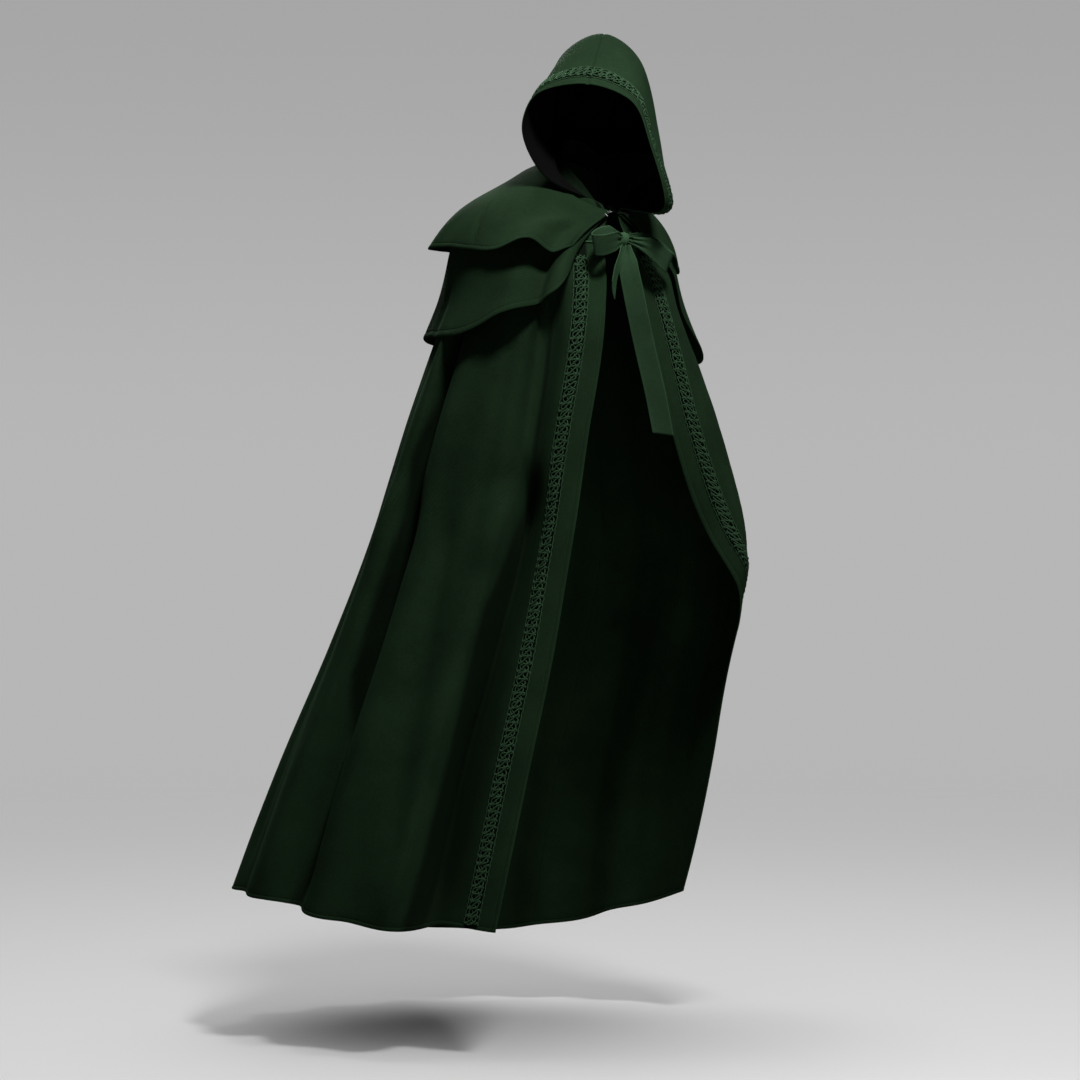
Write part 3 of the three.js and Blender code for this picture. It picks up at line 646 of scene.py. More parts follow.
def colour_mix(tree, factor, low, high, blend="MIX"):
    made = node(tree, "ShaderNodeMix", data_type="RGBA", blend_type=blend)
    for socket, value in ((made.inputs[0], factor), (made.inputs[6], low), (made.inputs[7], high)):
        if isinstance(value, bpy.types.NodeSocket):
            tree.links.new(value, socket)
        else:
            socket.default_value = value
    return made.outputs[2]


def wool_nap_group():
    """Fulled wool: a short nap over a faint twill, mottled dye and colour lighter near the edges, with painted
    shade under the braids, on the inner faces and in the deep folds.
    """
    group = bpy.data.node_groups.new("wool_nap", "ShaderNodeTree")
    face = group.interface
    face.new_socket("Dark", in_out="INPUT", socket_type="NodeSocketColor")
    face.new_socket("Light", in_out="INPUT", socket_type="NodeSocketColor")
    face.new_socket("Fibre Scale", in_out="INPUT", socket_type="NodeSocketFloat").default_value = 900
    face.new_socket("Twill", in_out="INPUT", socket_type="NodeSocketFloat").default_value = 0.35
    face.new_socket("Color", in_out="OUTPUT", socket_type="NodeSocketColor")
    face.new_socket("Roughness", in_out="OUTPUT", socket_type="NodeSocketFloat")
    face.new_socket("Height", in_out="OUTPUT", socket_type="NodeSocketFloat")
    given = node(group, "NodeGroupInput").outputs
    place = node(group, "ShaderNodeTexCoord").outputs["Object"]
    cloth = node(group, "ShaderNodeUVMap", uv_map="cloth").outputs["UV"]
    fibre = node(group, "ShaderNodeTexNoise", {
        "Vector": place, "Scale": given["Fibre Scale"], "Detail": 5, "Roughness": 0.65, "Distortion": 0.6,
    }).outputs["Fac"]
    clump = node(group, "ShaderNodeTexNoise", {
        "Vector": place, "Scale": 170, "Detail": 3, "Roughness": 0.6,
    }).outputs["Fac"]
    mottle = node(group, "ShaderNodeTexNoise", {
        "Vector": place, "Scale": 9, "Detail": 3, "Roughness": 0.55,
    }).outputs["Fac"]
    turned = node(group, "ShaderNodeMapping", {"Vector": cloth, "Rotation": (0, 0, math.radians(52))})
    twill = node(group, "ShaderNodeTexWave", {
        "Vector": turned.outputs["Vector"], "Scale": 95, "Distortion": 1.4, "Detail": 2,
        "Detail Scale": 3.0, "Detail Roughness": 0.6,
    }).outputs["Fac"]
    edge = node(group, "ShaderNodeAttribute", attribute_name="edge").outputs["Fac"]
    # colour lighter towards the cloth's edges
    edge_lightening = math_node(group, "EXPONENT", math_node(group, "MULTIPLY", edge, -700.0))
    weave = math_node(group, "MULTIPLY", twill, given["Twill"])
    height = math_node(group, "ADD", math_node(group, "MULTIPLY_ADD", clump, 0.5, fibre), weave)
    tone = math_node(group, "MULTIPLY_ADD", fibre, 0.55, math_node(group, "MULTIPLY", clump, 0.35))
    tone = math_node(group, "MULTIPLY_ADD", mottle, 0.8, tone)
    tone = math_node(group, "MULTIPLY_ADD", weave, 0.25, tone)
    tone = math_node(group, "MULTIPLY_ADD", edge_lightening, 0.55, math_node(group, "SUBTRACT", tone, 0.44))
    tone = node(group, "ShaderNodeClamp", {"Value": tone}).outputs[0]
    colour = colour_mix(group, tone, given["Dark"], given["Light"])
    # painted shade under the braid: wool within 10.5 mm of the braid's middle line is painted 80 % darker, fading
    # out by 15 mm, for the shadow between its cords
    front = node(group, "ShaderNodeAttribute", attribute_name="front").outputs["Fac"]
    off = math_node(group, "ABSOLUTE", math_node(group, "SUBTRACT", front, BRAID_INSET * MM))
    bed = node(group, "ShaderNodeMapRange", {
        "Value": off, "From Min": 0.0105, "From Max": 0.0150, "To Min": 0.8, "To Max": 0.0,
    }).outputs["Result"]
    # painted shade: the inner faces are painted 15 % darker
    inside = node(group, "ShaderNodeAttribute", attribute_name="inside").outputs["Fac"]
    shade = math_node(group, "MULTIPLY_ADD", inside, -INNER_PAINTED_SHADE, math_node(group, "SUBTRACT", 1.0, bed))
    # painted shade in the deep folds: the colour is darkened by up to 72 % for each fold
    deep = node(group, "ShaderNodeAttribute", attribute_name="painted_fold_shade").outputs["Fac"]
    shade = math_node(group, "MULTIPLY", shade, math_node(group, "MULTIPLY_ADD", deep, -PAINTED_SHADE_STRENGTH, 1.0))
    colour = vector_node(group, "SCALE", colour, shade)
    rough = math_node(group, "MULTIPLY_ADD", fibre, 0.14, 0.84)
    node(group, "NodeGroupOutput", {"Color": colour, "Roughness": rough, "Height": height})
    return group


def surface_material(name, sheen, sheen_tint, group, inputs, bump, distance):
    """A cloth material: one look group feeds its colour, roughness and bump."""
    material = bpy.data.materials.new(name)
    material.use_nodes = True
    tree = material.node_tree
    tree.nodes.clear()
    look = node(tree, "ShaderNodeGroup", node_tree=group)
    for key, value in inputs.items():
        look.inputs[key].default_value = value
    dents = node(tree, "ShaderNodeBump", {
        "Height": look.outputs["Height"], "Strength": bump, "Distance": distance,
    })
    shader = node(tree, "ShaderNodeBsdfPrincipled", {
        "Base Color": look.outputs["Color"],
        "Roughness": look.outputs["Roughness"],
        "Normal": dents.outputs["Normal"],
        "Specular IOR Level": 0.10,
        "Sheen Weight": sheen,
        "Sheen Roughness": 0.42,
        "Sheen Tint": sheen_tint,
    })
    node(tree, "ShaderNodeOutputMaterial", {"Surface": shader.outputs["BSDF"]})
    return material


NAP = wool_nap_group()
WOOL_CLOTH = surface_material(
    "fulled_green_wool", 0.06, (0.14, 0.40, 0.16, 1), NAP,
    {"Dark": (0.0072, 0.0160, 0.0074, 1), "Light": (0.0265, 0.067, 0.0275, 1)}, 0.5, 0.0008,
)
# painted shade: the collar is the same wool painted at about 40 % of its brightness, for the shade under the hood
COLLAR_SHADE_WOOL = surface_material(
    "painted_shade_green_wool", 0.04, (0.14, 0.40, 0.16, 1), NAP,
    {"Dark": (0.003, 0.007, 0.0032, 1), "Light": (0.011, 0.026, 0.0115, 1)}, 0.4, 0.0006,
)
# painted shade: a near-black copy of the wool, for the shadow inside the hood
HOOD_INSIDE_SHADE = surface_material(
    "painted_shade_hood_inside", 0.0, (0.1, 0.1, 0.1, 1), NAP,
    {"Dark": (0.0012, 0.0014, 0.0012, 1), "Light": (0.0045, 0.0060, 0.0045, 1)}, 0.3, 0.0005,
)
# painted light: the bow's ribbons are the same wool painted more than twice as light, for the light that falls on
# the bow
LIT_RIBBON_WOOL = surface_material(
    "painted_light_green_wool_ribbon", 0.12, (0.14, 0.40, 0.16, 1), NAP,
    {"Dark": (0.018, 0.042, 0.020, 1), "Light": (0.066, 0.148, 0.071, 1), "Twill": 0.6}, 0.3, 0.0005,
)


def braid_cord_group():
    """Twisted cord: plies that wind round it, painted lighter on their crests as a painted highlight."""
    group = bpy.data.node_groups.new("twisted_cord", "ShaderNodeTree")
    face = group.interface
    face.new_socket("Dark", in_out="INPUT", socket_type="NodeSocketColor")
    face.new_socket("Light", in_out="INPUT", socket_type="NodeSocketColor")
    face.new_socket("Color", in_out="OUTPUT", socket_type="NodeSocketColor")
    face.new_socket("Roughness", in_out="OUTPUT", socket_type="NodeSocketFloat")
    face.new_socket("Height", in_out="OUTPUT", socket_type="NodeSocketFloat")
    given = node(group, "NodeGroupInput").outputs
    along = node(group, "ShaderNodeAttribute", attribute_name="along").outputs["Fac"]
    around = node(group, "ShaderNodeAttribute", attribute_name="around").outputs["Fac"]
    place = node(group, "ShaderNodeTexCoord").outputs["Object"]
    fibre = node(group, "ShaderNodeTexNoise", {"Vector": place, "Scale": 1500, "Detail": 3}).outputs["Fac"]
    turn = math_node(group, "MULTIPLY_ADD", along, 2 * math.pi / 0.0022, math_node(group, "MULTIPLY", around, 4 * math.pi))
    ply = math_node(group, "MULTIPLY_ADD", math_node(group, "SINE", turn), 0.5, 0.5)
    height = math_node(group, "MULTIPLY_ADD", fibre, 0.3, ply)
    # painted highlight: the ply crests are painted lighter
    tone = node(group, "ShaderNodeClamp", {"Value": math_node(group, "MULTIPLY_ADD", fibre, 0.4, math_node(group, "MULTIPLY", ply, 0.6))}).outputs[0]
    rough = math_node(group, "MULTIPLY_ADD", fibre, 0.2, 0.5)
    colour = colour_mix(group, tone, given["Dark"], given["Light"])
    node(group, "NodeGroupOutput", {"Color": colour, "Roughness": rough, "Height": height})
    return group


TWIST = braid_cord_group()
BRAID_CORD = surface_material(
    "green_braid_cord", 0.15, (0.2, 0.55, 0.25, 1), TWIST,
    {"Dark": (0.012, 0.030, 0.014, 1), "Light": (0.090, 0.195, 0.097, 1)}, 0.7, 0.0004,
)
THREAD = surface_material(
    "green_sewing_thread", 0.1, (0.2, 0.55, 0.25, 1), TWIST,
    {"Dark": (0.014, 0.032, 0.016, 1), "Light": (0.050, 0.110, 0.055, 1)}, 0.3, 0.0002,
)


def finish_piece(piece, material, slot, *nodes):
    """Gives a piece its material, lets it ride on the one body and stand for its nodes; slot is not used."""
    if not piece.data.materials:
        piece.data.materials.append(material)
    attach(piece, "root")
    if nodes:
        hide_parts(*nodes)
    return piece


# Cords and threads that are grown on a bed, a line with the surface's shape to either side


def polyline(name, points, vectors):
    """A line of points in millimetres with vectors at each, in metres."""
    mesh = bpy.data.meshes.new(name)
    edges = [(i, i + 1) for i in range(len(points) - 1)]
    mesh.from_pydata((points * MM).tolist(), edges, [])
    for key, values in vectors.items():
        layer = mesh.attributes.new(key, "FLOAT_VECTOR", "POINT")
        layer.data.foreach_set("vector", (values * MM).astype(np.float32).ravel())
    bed = bpy.data.objects.new(name, mesh)
    bpy.context.collection.objects.link(bed)
    return bed


def new_tree(name, **inputs):
    """A geometry tree with a mesh input and output and named inputs."""
    tree = bpy.data.node_groups.new(name, "GeometryNodeTree")
    tree.interface.new_socket("Geometry", in_out="INPUT", socket_type="NodeSocketGeometry")
    for key, kind in inputs.items():
        tree.interface.new_socket(key.replace("_", " "), in_out="INPUT", socket_type=f"NodeSocket{kind}")
    tree.interface.new_socket("Geometry", in_out="OUTPUT", socket_type="NodeSocketGeometry")
    return tree, node(tree, "NodeGroupInput").outputs


def grown(name, bed, tree, values):
    """The mesh that a tree grows on a bed, as an object of its own."""
    modifier = bed.modifiers.new("grow", "NODES")
    modifier.node_group = tree
    for item in tree.interface.items_tree:
        if item.in_out == "INPUT" and item.name in values:
            modifier[item.identifier] = values[item.name]
    evaluated = bed.evaluated_get(bpy.context.evaluated_depsgraph_get())
    mesh = bpy.data.meshes.new_from_object(evaluated)
    mesh.name = name
    piece = bpy.data.objects.new(name, mesh)
    bpy.context.collection.objects.link(piece)
    bpy.data.objects.remove(bed)
    return piece


def named(tree, key, kind="FLOAT_VECTOR"):
    made = node(tree, "GeometryNodeInputNamedAttribute", {"Name": key}, data_type=kind)
    return made.outputs["Attribute"]


def swept(tree, line, across, run, rise, radius, length, sides):
    """A cord beside a line. across is a share of the bed's half width; run, rise and radius are metres."""
    move = vector_node(tree, "SCALE", named(tree, "across"), across)
    square = math_node(tree, "MULTIPLY", across, across)
    move = vector_node(tree, "ADD", move, vector_node(tree, "SCALE", named(tree, "bend"), square))
    for key, value in (("out", rise), ("run", run)):
        steps = math_node(tree, "MULTIPLY", value, 1 / MM)
        move = vector_node(tree, "ADD", move, vector_node(tree, "SCALE", named(tree, key), steps))
    strand = node(tree, "GeometryNodeSetPosition", {"Geometry": line, "Offset": move})
    strand = node(tree, "GeometryNodeStoreNamedAttribute", {
        "Geometry": strand.outputs["Geometry"], "Name": "along", "Value": length,
    }, data_type="FLOAT", domain="POINT")
    ring = node(tree, "GeometryNodeCurvePrimitiveCircle", {"Resolution": sides, "Radius": radius})
    share = node(tree, "GeometryNodeSplineParameter").outputs["Factor"]
    ring = node(tree, "GeometryNodeStoreNamedAttribute", {
        "Geometry": ring.outputs["Curve"], "Name": "around", "Value": share,
    }, data_type="FLOAT", domain="POINT")
    tube = node(tree, "GeometryNodeCurveToMesh", {
        "Curve": strand.outputs["Geometry"], "Profile Curve": ring.outputs["Geometry"], "Fill Caps": True,
    })
    return tube.outputs["Mesh"]


def wander(tree, length, lane, size):
    """A slow unevenness along a length, another in each lane."""
    place = node(tree, "ShaderNodeCombineXYZ", {0: math_node(tree, "MULTIPLY", length, 62.0), 1: lane}).outputs[0]
    noise = node(tree, "ShaderNodeTexNoise", {"Vector": place, "Scale": 1.0, "Detail": 1.0}).outputs["Fac"]
    return math_node(tree, "MULTIPLY", math_node(tree, "SUBTRACT", noise, 0.5), size)


def realized(tree, mesh, material):
    """Ends a tree: smooth faces, real instances and a material."""
    smoothed = node(tree, "GeometryNodeSetShadeSmooth", {"Geometry": mesh})
    real = node(tree, "GeometryNodeRealizeInstances", {"Geometry": smoothed.outputs["Geometry"]})
    painted = node(tree, "GeometryNodeSetMaterial", {
        "Geometry": real.outputs["Geometry"], "Material": material,
    })
    node(tree, "NodeGroupOutput", {"Geometry": painted.outputs["Geometry"]})


def stitch_tree():
    """A thread that runs in and out of the cloth."""
    tree, given = new_tree("running_stitch", Pitch="Float", Thread_Radius="Float", Material="Material")
    line = node(tree, "GeometryNodeMeshToCurve", {"Mesh": given["Geometry"]}).outputs["Curve"]
    step = math_node(tree, "DIVIDE", given["Pitch"], 7.0)
    line = node(tree, "GeometryNodeResampleCurve", {"Curve": line, "Length": step}, mode="LENGTH")
    length = node(tree, "GeometryNodeSplineParameter").outputs["Length"]
    swing = math_node(tree, "MULTIPLY", math_node(tree, "DIVIDE", length, given["Pitch"]), 2 * math.pi)
    dive = math_node(tree, "MINIMUM", math_node(tree, "ADD", math_node(tree, "COSINE", swing), 0.4), 0.5)
    rise = math_node(tree, "MULTIPLY", math_node(tree, "MULTIPLY", dive, 1.6), given["Thread Radius"])
    tube = swept(tree, line.outputs["Curve"], 0.0, 0.0, rise, given["Thread Radius"], length, 5)
    realized(tree, tube, given["Material"])
    return tree


STITCHES = stitch_tree()


def sew_line(name, points, out):
    """A line of stitches over surface points."""
    still = np.zeros_like(points)
    bed = polyline(f"{name}_stitches_bed", points, {"across": still, "bend": still, "out": out, "run": still})
    piece = grown(f"{name}_stitches", bed, STITCHES, {
        "Pitch": STITCH_PITCH * MM, "Thread Radius": THREAD_RADIUS * MM, "Material": THREAD,
    })
    return finish_piece(piece, THREAD, None)


def plait_tree():
    """Two cords that cross and curl back at either side over two that lace a lattice, with edge cords."""
    tree, given = new_tree(
        "plaited_braid", Pitch="Float", Cord_Radius="Float", Edge_Radius="Float", Lift="Float",
        Material="Material",
    )
    line = node(tree, "GeometryNodeMeshToCurve", {"Mesh": given["Geometry"]}).outputs["Curve"]
    step = math_node(tree, "DIVIDE", given["Pitch"], 22.0)
    line = node(tree, "GeometryNodeResampleCurve", {"Curve": line, "Length": step}, mode="LENGTH")
    line = line.outputs["Curve"]
    length = node(tree, "GeometryNodeSplineParameter").outputs["Length"]
    swing = math_node(tree, "MULTIPLY", math_node(tree, "DIVIDE", length, given["Pitch"]), 2 * math.pi)
    joined = node(tree, "GeometryNodeJoinGeometry")
    for phase, reach, curl in PLAIT_STRANDS:
        turn = math_node(tree, "ADD", swing, phase)
        drift = wander(tree, length, 3.7 * phase, 0.6)
        across = math_node(tree, "MULTIPLY_ADD", math_node(tree, "SINE", turn), reach, drift)
        twice = math_node(tree, "SINE", math_node(tree, "MULTIPLY", turn, 2.0))
        drift = wander(tree, length, 3.7 * phase + 9.0, 0.4)
        run = math_node(tree, "MULTIPLY", math_node(tree, "MULTIPLY_ADD", twice, curl, drift), given["Pitch"])
        hop = math_node(tree, "MULTIPLY_ADD", math_node(tree, "COSINE", turn), 0.7, 1.6)
        rise = math_node(tree, "MULTIPLY_ADD", given["Cord Radius"], hop, given["Lift"])
        tube = swept(tree, line, across, run, rise, given["Cord Radius"], length, 7)
        tree.links.new(tube, joined.inputs[0])
    for side in (1.0, -1.0):
        ripple = math_node(tree, "SINE", math_node(tree, "MULTIPLY", swing, 2.0))
        across = math_node(tree, "MULTIPLY_ADD", ripple, 0.04, side)
        rise = math_node(tree, "MULTIPLY_ADD", given["Edge Radius"], 0.9, given["Lift"])
        tube = swept(tree, line, across, 0.0, rise, given["Edge Radius"], length, 7)
        tree.links.new(tube, joined.inputs[0])
    realized(tree, joined.outputs[0], given["Material"])
    return tree


# Cloak panels


def panel(name, side, plain, rows):
    """One panel of the cloak, from the neckline to the hem, between an edge or seam on either side."""
    hem = HEM_STEPS
    lengths = 330.0
    low = LAST - hem[::-1] / lengths
    levels = np.concatenate([np.linspace(0, 2.4, int(rows * 0.42)), np.linspace(2.4, low[0], int(rows * 0.58))[1:-1], low])
    from_hem = (LAST - levels) * lengths
    start = at_row(CLOAK, "start", levels) if side == "right" else np.full(len(levels), float(RIGHT_SEAM))
    end = np.full(len(levels), float(RIGHT_SEAM)) if side == "right" else np.full(len(levels), float(LEFT_SEAM))
    if side == "left":
        start, end = np.full(len(levels), float(LEFT_SEAM)), at_row(CLOAK, "end", levels)
    fine = np.linspace(0, 1, 500)
    bearings = mix(start[:, None], end[:, None], fine[None, :])
    run = arc(cloak(bearings, levels[:, None]), 1)
    steps = {
        "right": (HEM_STEPS, SEAM_STEPS),
        "back": (SEAM_STEPS, SEAM_STEPS),
        "left": (SEAM_STEPS, HEM_STEPS),
    }[side]
    at = places(run[:, -1], steps[0], steps[1], plain)
    columns = np.array([np.interp(at[:, j], run[j], bearings[j]) for j in range(len(levels))])
    spare = 0.25 / run[:, -1:] * (end - start)[:, None]
    columns[:, 0:1] -= 0 if side == "right" else spare
    columns[:, -1:] += 0 if side == "left" else spare
    grid_levels = np.repeat(levels[:, None], columns.shape[1], axis=1)
    middle = cloak(columns, grid_levels)
    outward = cloak_normal(columns, grid_levels)
    to_start, to_end = at.T, (run[:, -1:] - at.T)
    half = np.full(columns.shape, WOOL / 2) + hem_swell(from_hem)[:, None]
    half = half + (hem_swell(to_start) if side == "right" else seam_dip(to_start))
    half = half + (hem_swell(to_end) if side == "left" else seam_dip(to_end))
    half = np.maximum(half, 0.35)
    free = [from_hem[:, None] + 0 * to_start]
    free += [to_start] if side == "right" else []
    free += [to_end] if side == "left" else []
    edge = np.min(free, axis=0)
    front = {"right": to_start, "left": to_end}.get(side, 0 * to_start)
    piece = wall(f"{name}_cloth", middle, outward, half, edge, front, shaded=painted_fold_shade(columns, grid_levels))
    shell = middle + outward * half[..., None]
    hem_row = -SEWN - 1
    sew_line(f"{name}_hem", shell[hem_row, 2:-2], outward[hem_row, 2:-2])
    if side != "back":
        column = SEWN if side == "right" else -SEWN - 1
        sew_line(f"{name}_edge", shell[6:hem_row, column], outward[6:hem_row, column])
    return finish_piece(piece, WOOL_CLOTH, "wool", name)


def capelet_piece(name, shape, plain, rows):
    """A capelet with stitched hems along its lower and front edges."""
    even_u, even_s = np.linspace(0, 1, 160), np.linspace(0, 1, 60)
    draft = capelet(shape, even_u[None, :], even_s[:, None])
    long_at = arc(draft, 0)[-1]
    wide_at = arc(draft, 1)[:, -1]
    s_guess = np.concatenate([np.linspace(0, 0.96, rows), 1 - HEM_STEPS[::-1] / long_at.mean()])
    s_guess = np.unique(np.clip(s_guess, 0, 1))
    width = np.interp(s_guess, even_s, wide_at)
    u = places(width, HEM_STEPS, HEM_STEPS, plain).T / width[:, None]
    length = np.interp(u[-1], even_u, long_at)
    s = places(length, np.array([0.0]), HEM_STEPS, rows) / length[None, :]
    u = places(np.interp(s.mean(axis=1), even_s, wide_at), HEM_STEPS, HEM_STEPS, plain).T
    width = np.interp(s.mean(axis=1), even_s, wide_at)[:, None]
    sides = np.minimum(u, width - u)
    u = u / width
    surface = lambda p, q: capelet(shape, p, q)
    middle = surface(u, s)
    outward = normals_of(surface, np.clip(u, 0.002, 0.998), np.clip(s, 0.01, 0.995), 0.001, 0.004)
    from_hem = (1 - s) * length[None, :]
    edge = np.minimum(from_hem, sides)
    half = np.maximum(WOOL / 2 + hem_swell(edge), 0.35)
    piece = wall(f"{name}_cloth", middle, outward, half, edge)
    shell = middle + outward * half[..., None]
    last = -SEWN - 1
    turn = lambda grid: np.concatenate([grid[3:last, SEWN], grid[last, SEWN:last], grid[3:last, last][::-1]])
    sew_line(f"{name}_edge", turn(shell), turn(outward))
    if name == "capelet_upper":
        s = np.linspace(0.56, 0.90, 60)
        u = (mix(107.5, 87.5, (s - 0.56) / 0.34) - CAPELET_CORNER) / (360 - 2 * CAPELET_CORNER)
        out = normals_of(surface, u, s, 0.001, 0.004)
        sew_line("capelet_upper_dart", surface(u, s) + out * WOOL / 2, out)
    return finish_piece(piece, WOOL_CLOTH, "wool", name)


def hood_half(name, right):
    """Half of the hood, with a stitched rim and the seam over the middle of the head."""
    plain = 74
    around = np.concatenate([[0, 0.006, HOOD_SEAM, 0.02], np.linspace(0.03, 0.485, plain), 0.5 - np.array([9, 5, 2.4, 1.0, -0.25]) / 800])
    along = np.concatenate([HEM_STEPS / 400, np.linspace(0.036, 0.985, 70), [0.992, 1.0]])
    u = around if right else 1 - around
    if not right:
        u = u[::-1]
    u, s = np.meshgrid(u, along)
    middle = hood_cloth(u, s)
    outward = hood_normal(u, s)
    edge = s * 400
    half = np.maximum(WOOL / 2 + hem_swell(edge) + seam_dip(np.abs(u - 0.5) * 800), 0.35)
    rows = len(HOOD_RIGHT["turn"]) - 1
    front = BRAID_INSET + (s * rows - HOOD_BRAID) * HOOD_BRAID_SPACE
    # painted shade: the hood's inner faces take the near-black material, except near the neckline at the sides of
    # its back half
    dark_inside = (np.minimum(u, 1 - u) > INSIDE_SHADE_SIDE) | (s < INSIDE_SHADE_BACK)
    piece = wall(f"{name}_cloth", middle, outward, half, edge, front, inner=HOOD_INSIDE_SHADE, dark_inside=dark_inside)
    sew_line(f"{name}_edge", middle[SEWN] + (outward * half[..., None])[SEWN], outward[SEWN])
    return finish_piece(piece, WOOL_CLOTH, "wool", name)


def collar_piece():
    """The stand collar, lower towards its front corners."""
    u, v = np.meshgrid(np.linspace(0, 1, 140), np.linspace(0, 1, 14))
    bearing = mix(CAPELET_FRONT, 360 - CAPELET_FRONT, u)
    tall = mix(COLLAR["throat"], COLLAR["side"], smooth(0, COLLAR["round"], np.minimum(bearing, 360 - bearing)))
    ring = neck_point(bearing, COLLAR["radius"] - COLLAR["inward"] * v, 1)
    middle = ring + tall[..., None] * v[..., None] * np.array([0, -0.2, 0.98])
    outward = unit(neck_point(bearing, 1.0, 0) * np.array([1, 1, 0]))
    edge = (1 - v) * tall
    half = np.maximum(WOOL / 2 + 0.5 * hem_swell(edge), 0.35)
    piece = wall("collar_cloth", middle, outward, half, edge)
    return finish_piece(piece, COLLAR_SHADE_WOOL, "wool", "collar")


front_right = panel("cloak_front_right", "right", 70, 190)
back = panel("cloak_back", "back", 120, 190)
front_left = panel("cloak_front_left", "left", 60, 190)
lower = capelet_piece("capelet_lower", LOWER, 190, 56)
upper = capelet_piece("capelet_upper", UPPER, 170, 44)
hood_right = hood_half("hood_right", True)
hood_left = hood_half("hood_left", False)
collar = collar_piece()


# Braid


PLAIT = plait_tree()


def braid_piece(name, middle, low_side, high_side, out):
    """Braid along a line of surface points, with the surface's points at either edge of it."""
    bed = polyline(f"{name}_bed", middle, {
        "across": (high_side - low_side) / 2,
        "bend": (high_side + low_side) / 2 - middle,
        "out": out,
        "run": unit(np.gradient(middle, axis=0)),
    })
    piece = grown(f"{name}_cords", bed, PLAIT, {
        "Pitch": BRAID_PITCH * MM, "Cord Radius": CORD * MM, "Edge Radius": EDGE_CORD * MM,
        "Lift": WOOL / 2 * MM, "Material": BRAID_CORD,
    })
    return finish_piece(piece, BRAID_CORD, "braid", name)


def beside_edge(side, levels, distance):
    """Bearings at a distance round from a front edge, at each level."""
    key, inward = ("start", 1) if side == "right" else ("end", -1)
    edge = at_row(CLOAK, key, levels)
    bearings = edge[:, None] + inward * np.linspace(0, 30, 240)
    run = arc(cloak(bearings, levels[:, None]), 1)
    return np.array([np.interp(distance, run[j], bearings[j]) for j in range(len(levels))])


def front_braid(name, side):
    levels = np.linspace(BRAID_TOP, LAST - 0.032, 420)
    half = BRAID_WIDTH / 2
    lines = [cloak(beside_edge(side, levels, BRAID_INSET + d), levels) for d in (0, -half, half)]
    out = cloak_normal(beside_edge(side, levels, BRAID_INSET), levels)
    return braid_piece(name, *lines, out)


def hood_braid(name):
    u = np.linspace(0.075, 0.925, 420)
    half = BRAID_WIDTH / 2 / HOOD_BRAID_SPACE
    rows = len(HOOD_RIGHT["turn"]) - 1
    lines = [hood_cloth(u, (HOOD_BRAID + d) / rows) for d in (0, -half, half)]
    out = hood_normal(u, HOOD_BRAID / rows + 0 * u)
    return braid_piece(name, *lines, out)


braid_right = front_braid("braid_front_right", "right")
braid_left = front_braid("braid_front_left", "left")
braid_round_hood = hood_braid("braid_hood")


# Bow


def ribbon_piece(name, rows, along=120, across=26, pleats=2.5, slant=0.0):
    """A ribbon along a smooth line, gathered into pleats where it is drawn narrow."""
    v = np.linspace(0, 1, along)
    points, widths = rows["x y z"], rows["wx wy wz"]
    repeat = lambda a: np.repeat(np.array(a, float)[:, None, :], along, axis=1)
    line = curve_point(repeat(points), v)
    face = unit(curve_point(repeat(widths), v))
    share = np.interp(v * (len(points) - 1), np.arange(len(points)), rows["share"])
    share = smooth(0, 1, (share - 0.3) / 0.7) * 0.7 + 0.3
    u = np.linspace(0, 1, across)
    offset = (u[None, :] - 0.5) * TIE_WIDTH * share[:, None]
    tangent = unit(np.gradient(line, axis=0))
    out = unit(np.cross(face, tangent))
    pinch = (1 - share)[:, None]
    pleat = 3.6 * pinch * np.sin(2 * math.pi * pleats * u)[None, :]
    curl = 2.4 * np.sin(math.pi * u)[None, :] * (0.4 + 0.6 * np.sin(2.3 * math.pi * v + 0.6))[:, None]
    middle = line[:, None, :] + face[:, None, :] * offset[..., None] + out[:, None, :] * (pleat + curl)[..., None]
    if slant:
        tail = smooth(0.86, 1.0, v)[:, None] * slant * (u[None, :] - 0.5)
        middle = middle + tangent[:, None, :] * tail[..., None]
    outward = unit(np.cross(np.gradient(middle, axis=1), np.gradient(middle, axis=0)))
    side = np.minimum(u, 1 - u)[None, :] * TIE_WIDTH * share[:, None]
    half = np.maximum(RIBBON / 2 + 0.35 * np.exp(-((side - 1.2) ** 2)) - 0.4 * np.exp(-(side / 0.5) ** 2), 0.3)
    piece = wall(f"{name}_ribbon", middle, outward, half, side)
    arc(line[None], 1)[0, -1] * MM
    return finish_piece(piece, LIT_RIBBON_WOOL, "tie", name)


def rows_of(*rows):
    data = np.array(rows, float)
    return {"x y z": data[:, :3], "wx wy wz": data[:, 3:6], "share": data[:, 6]}


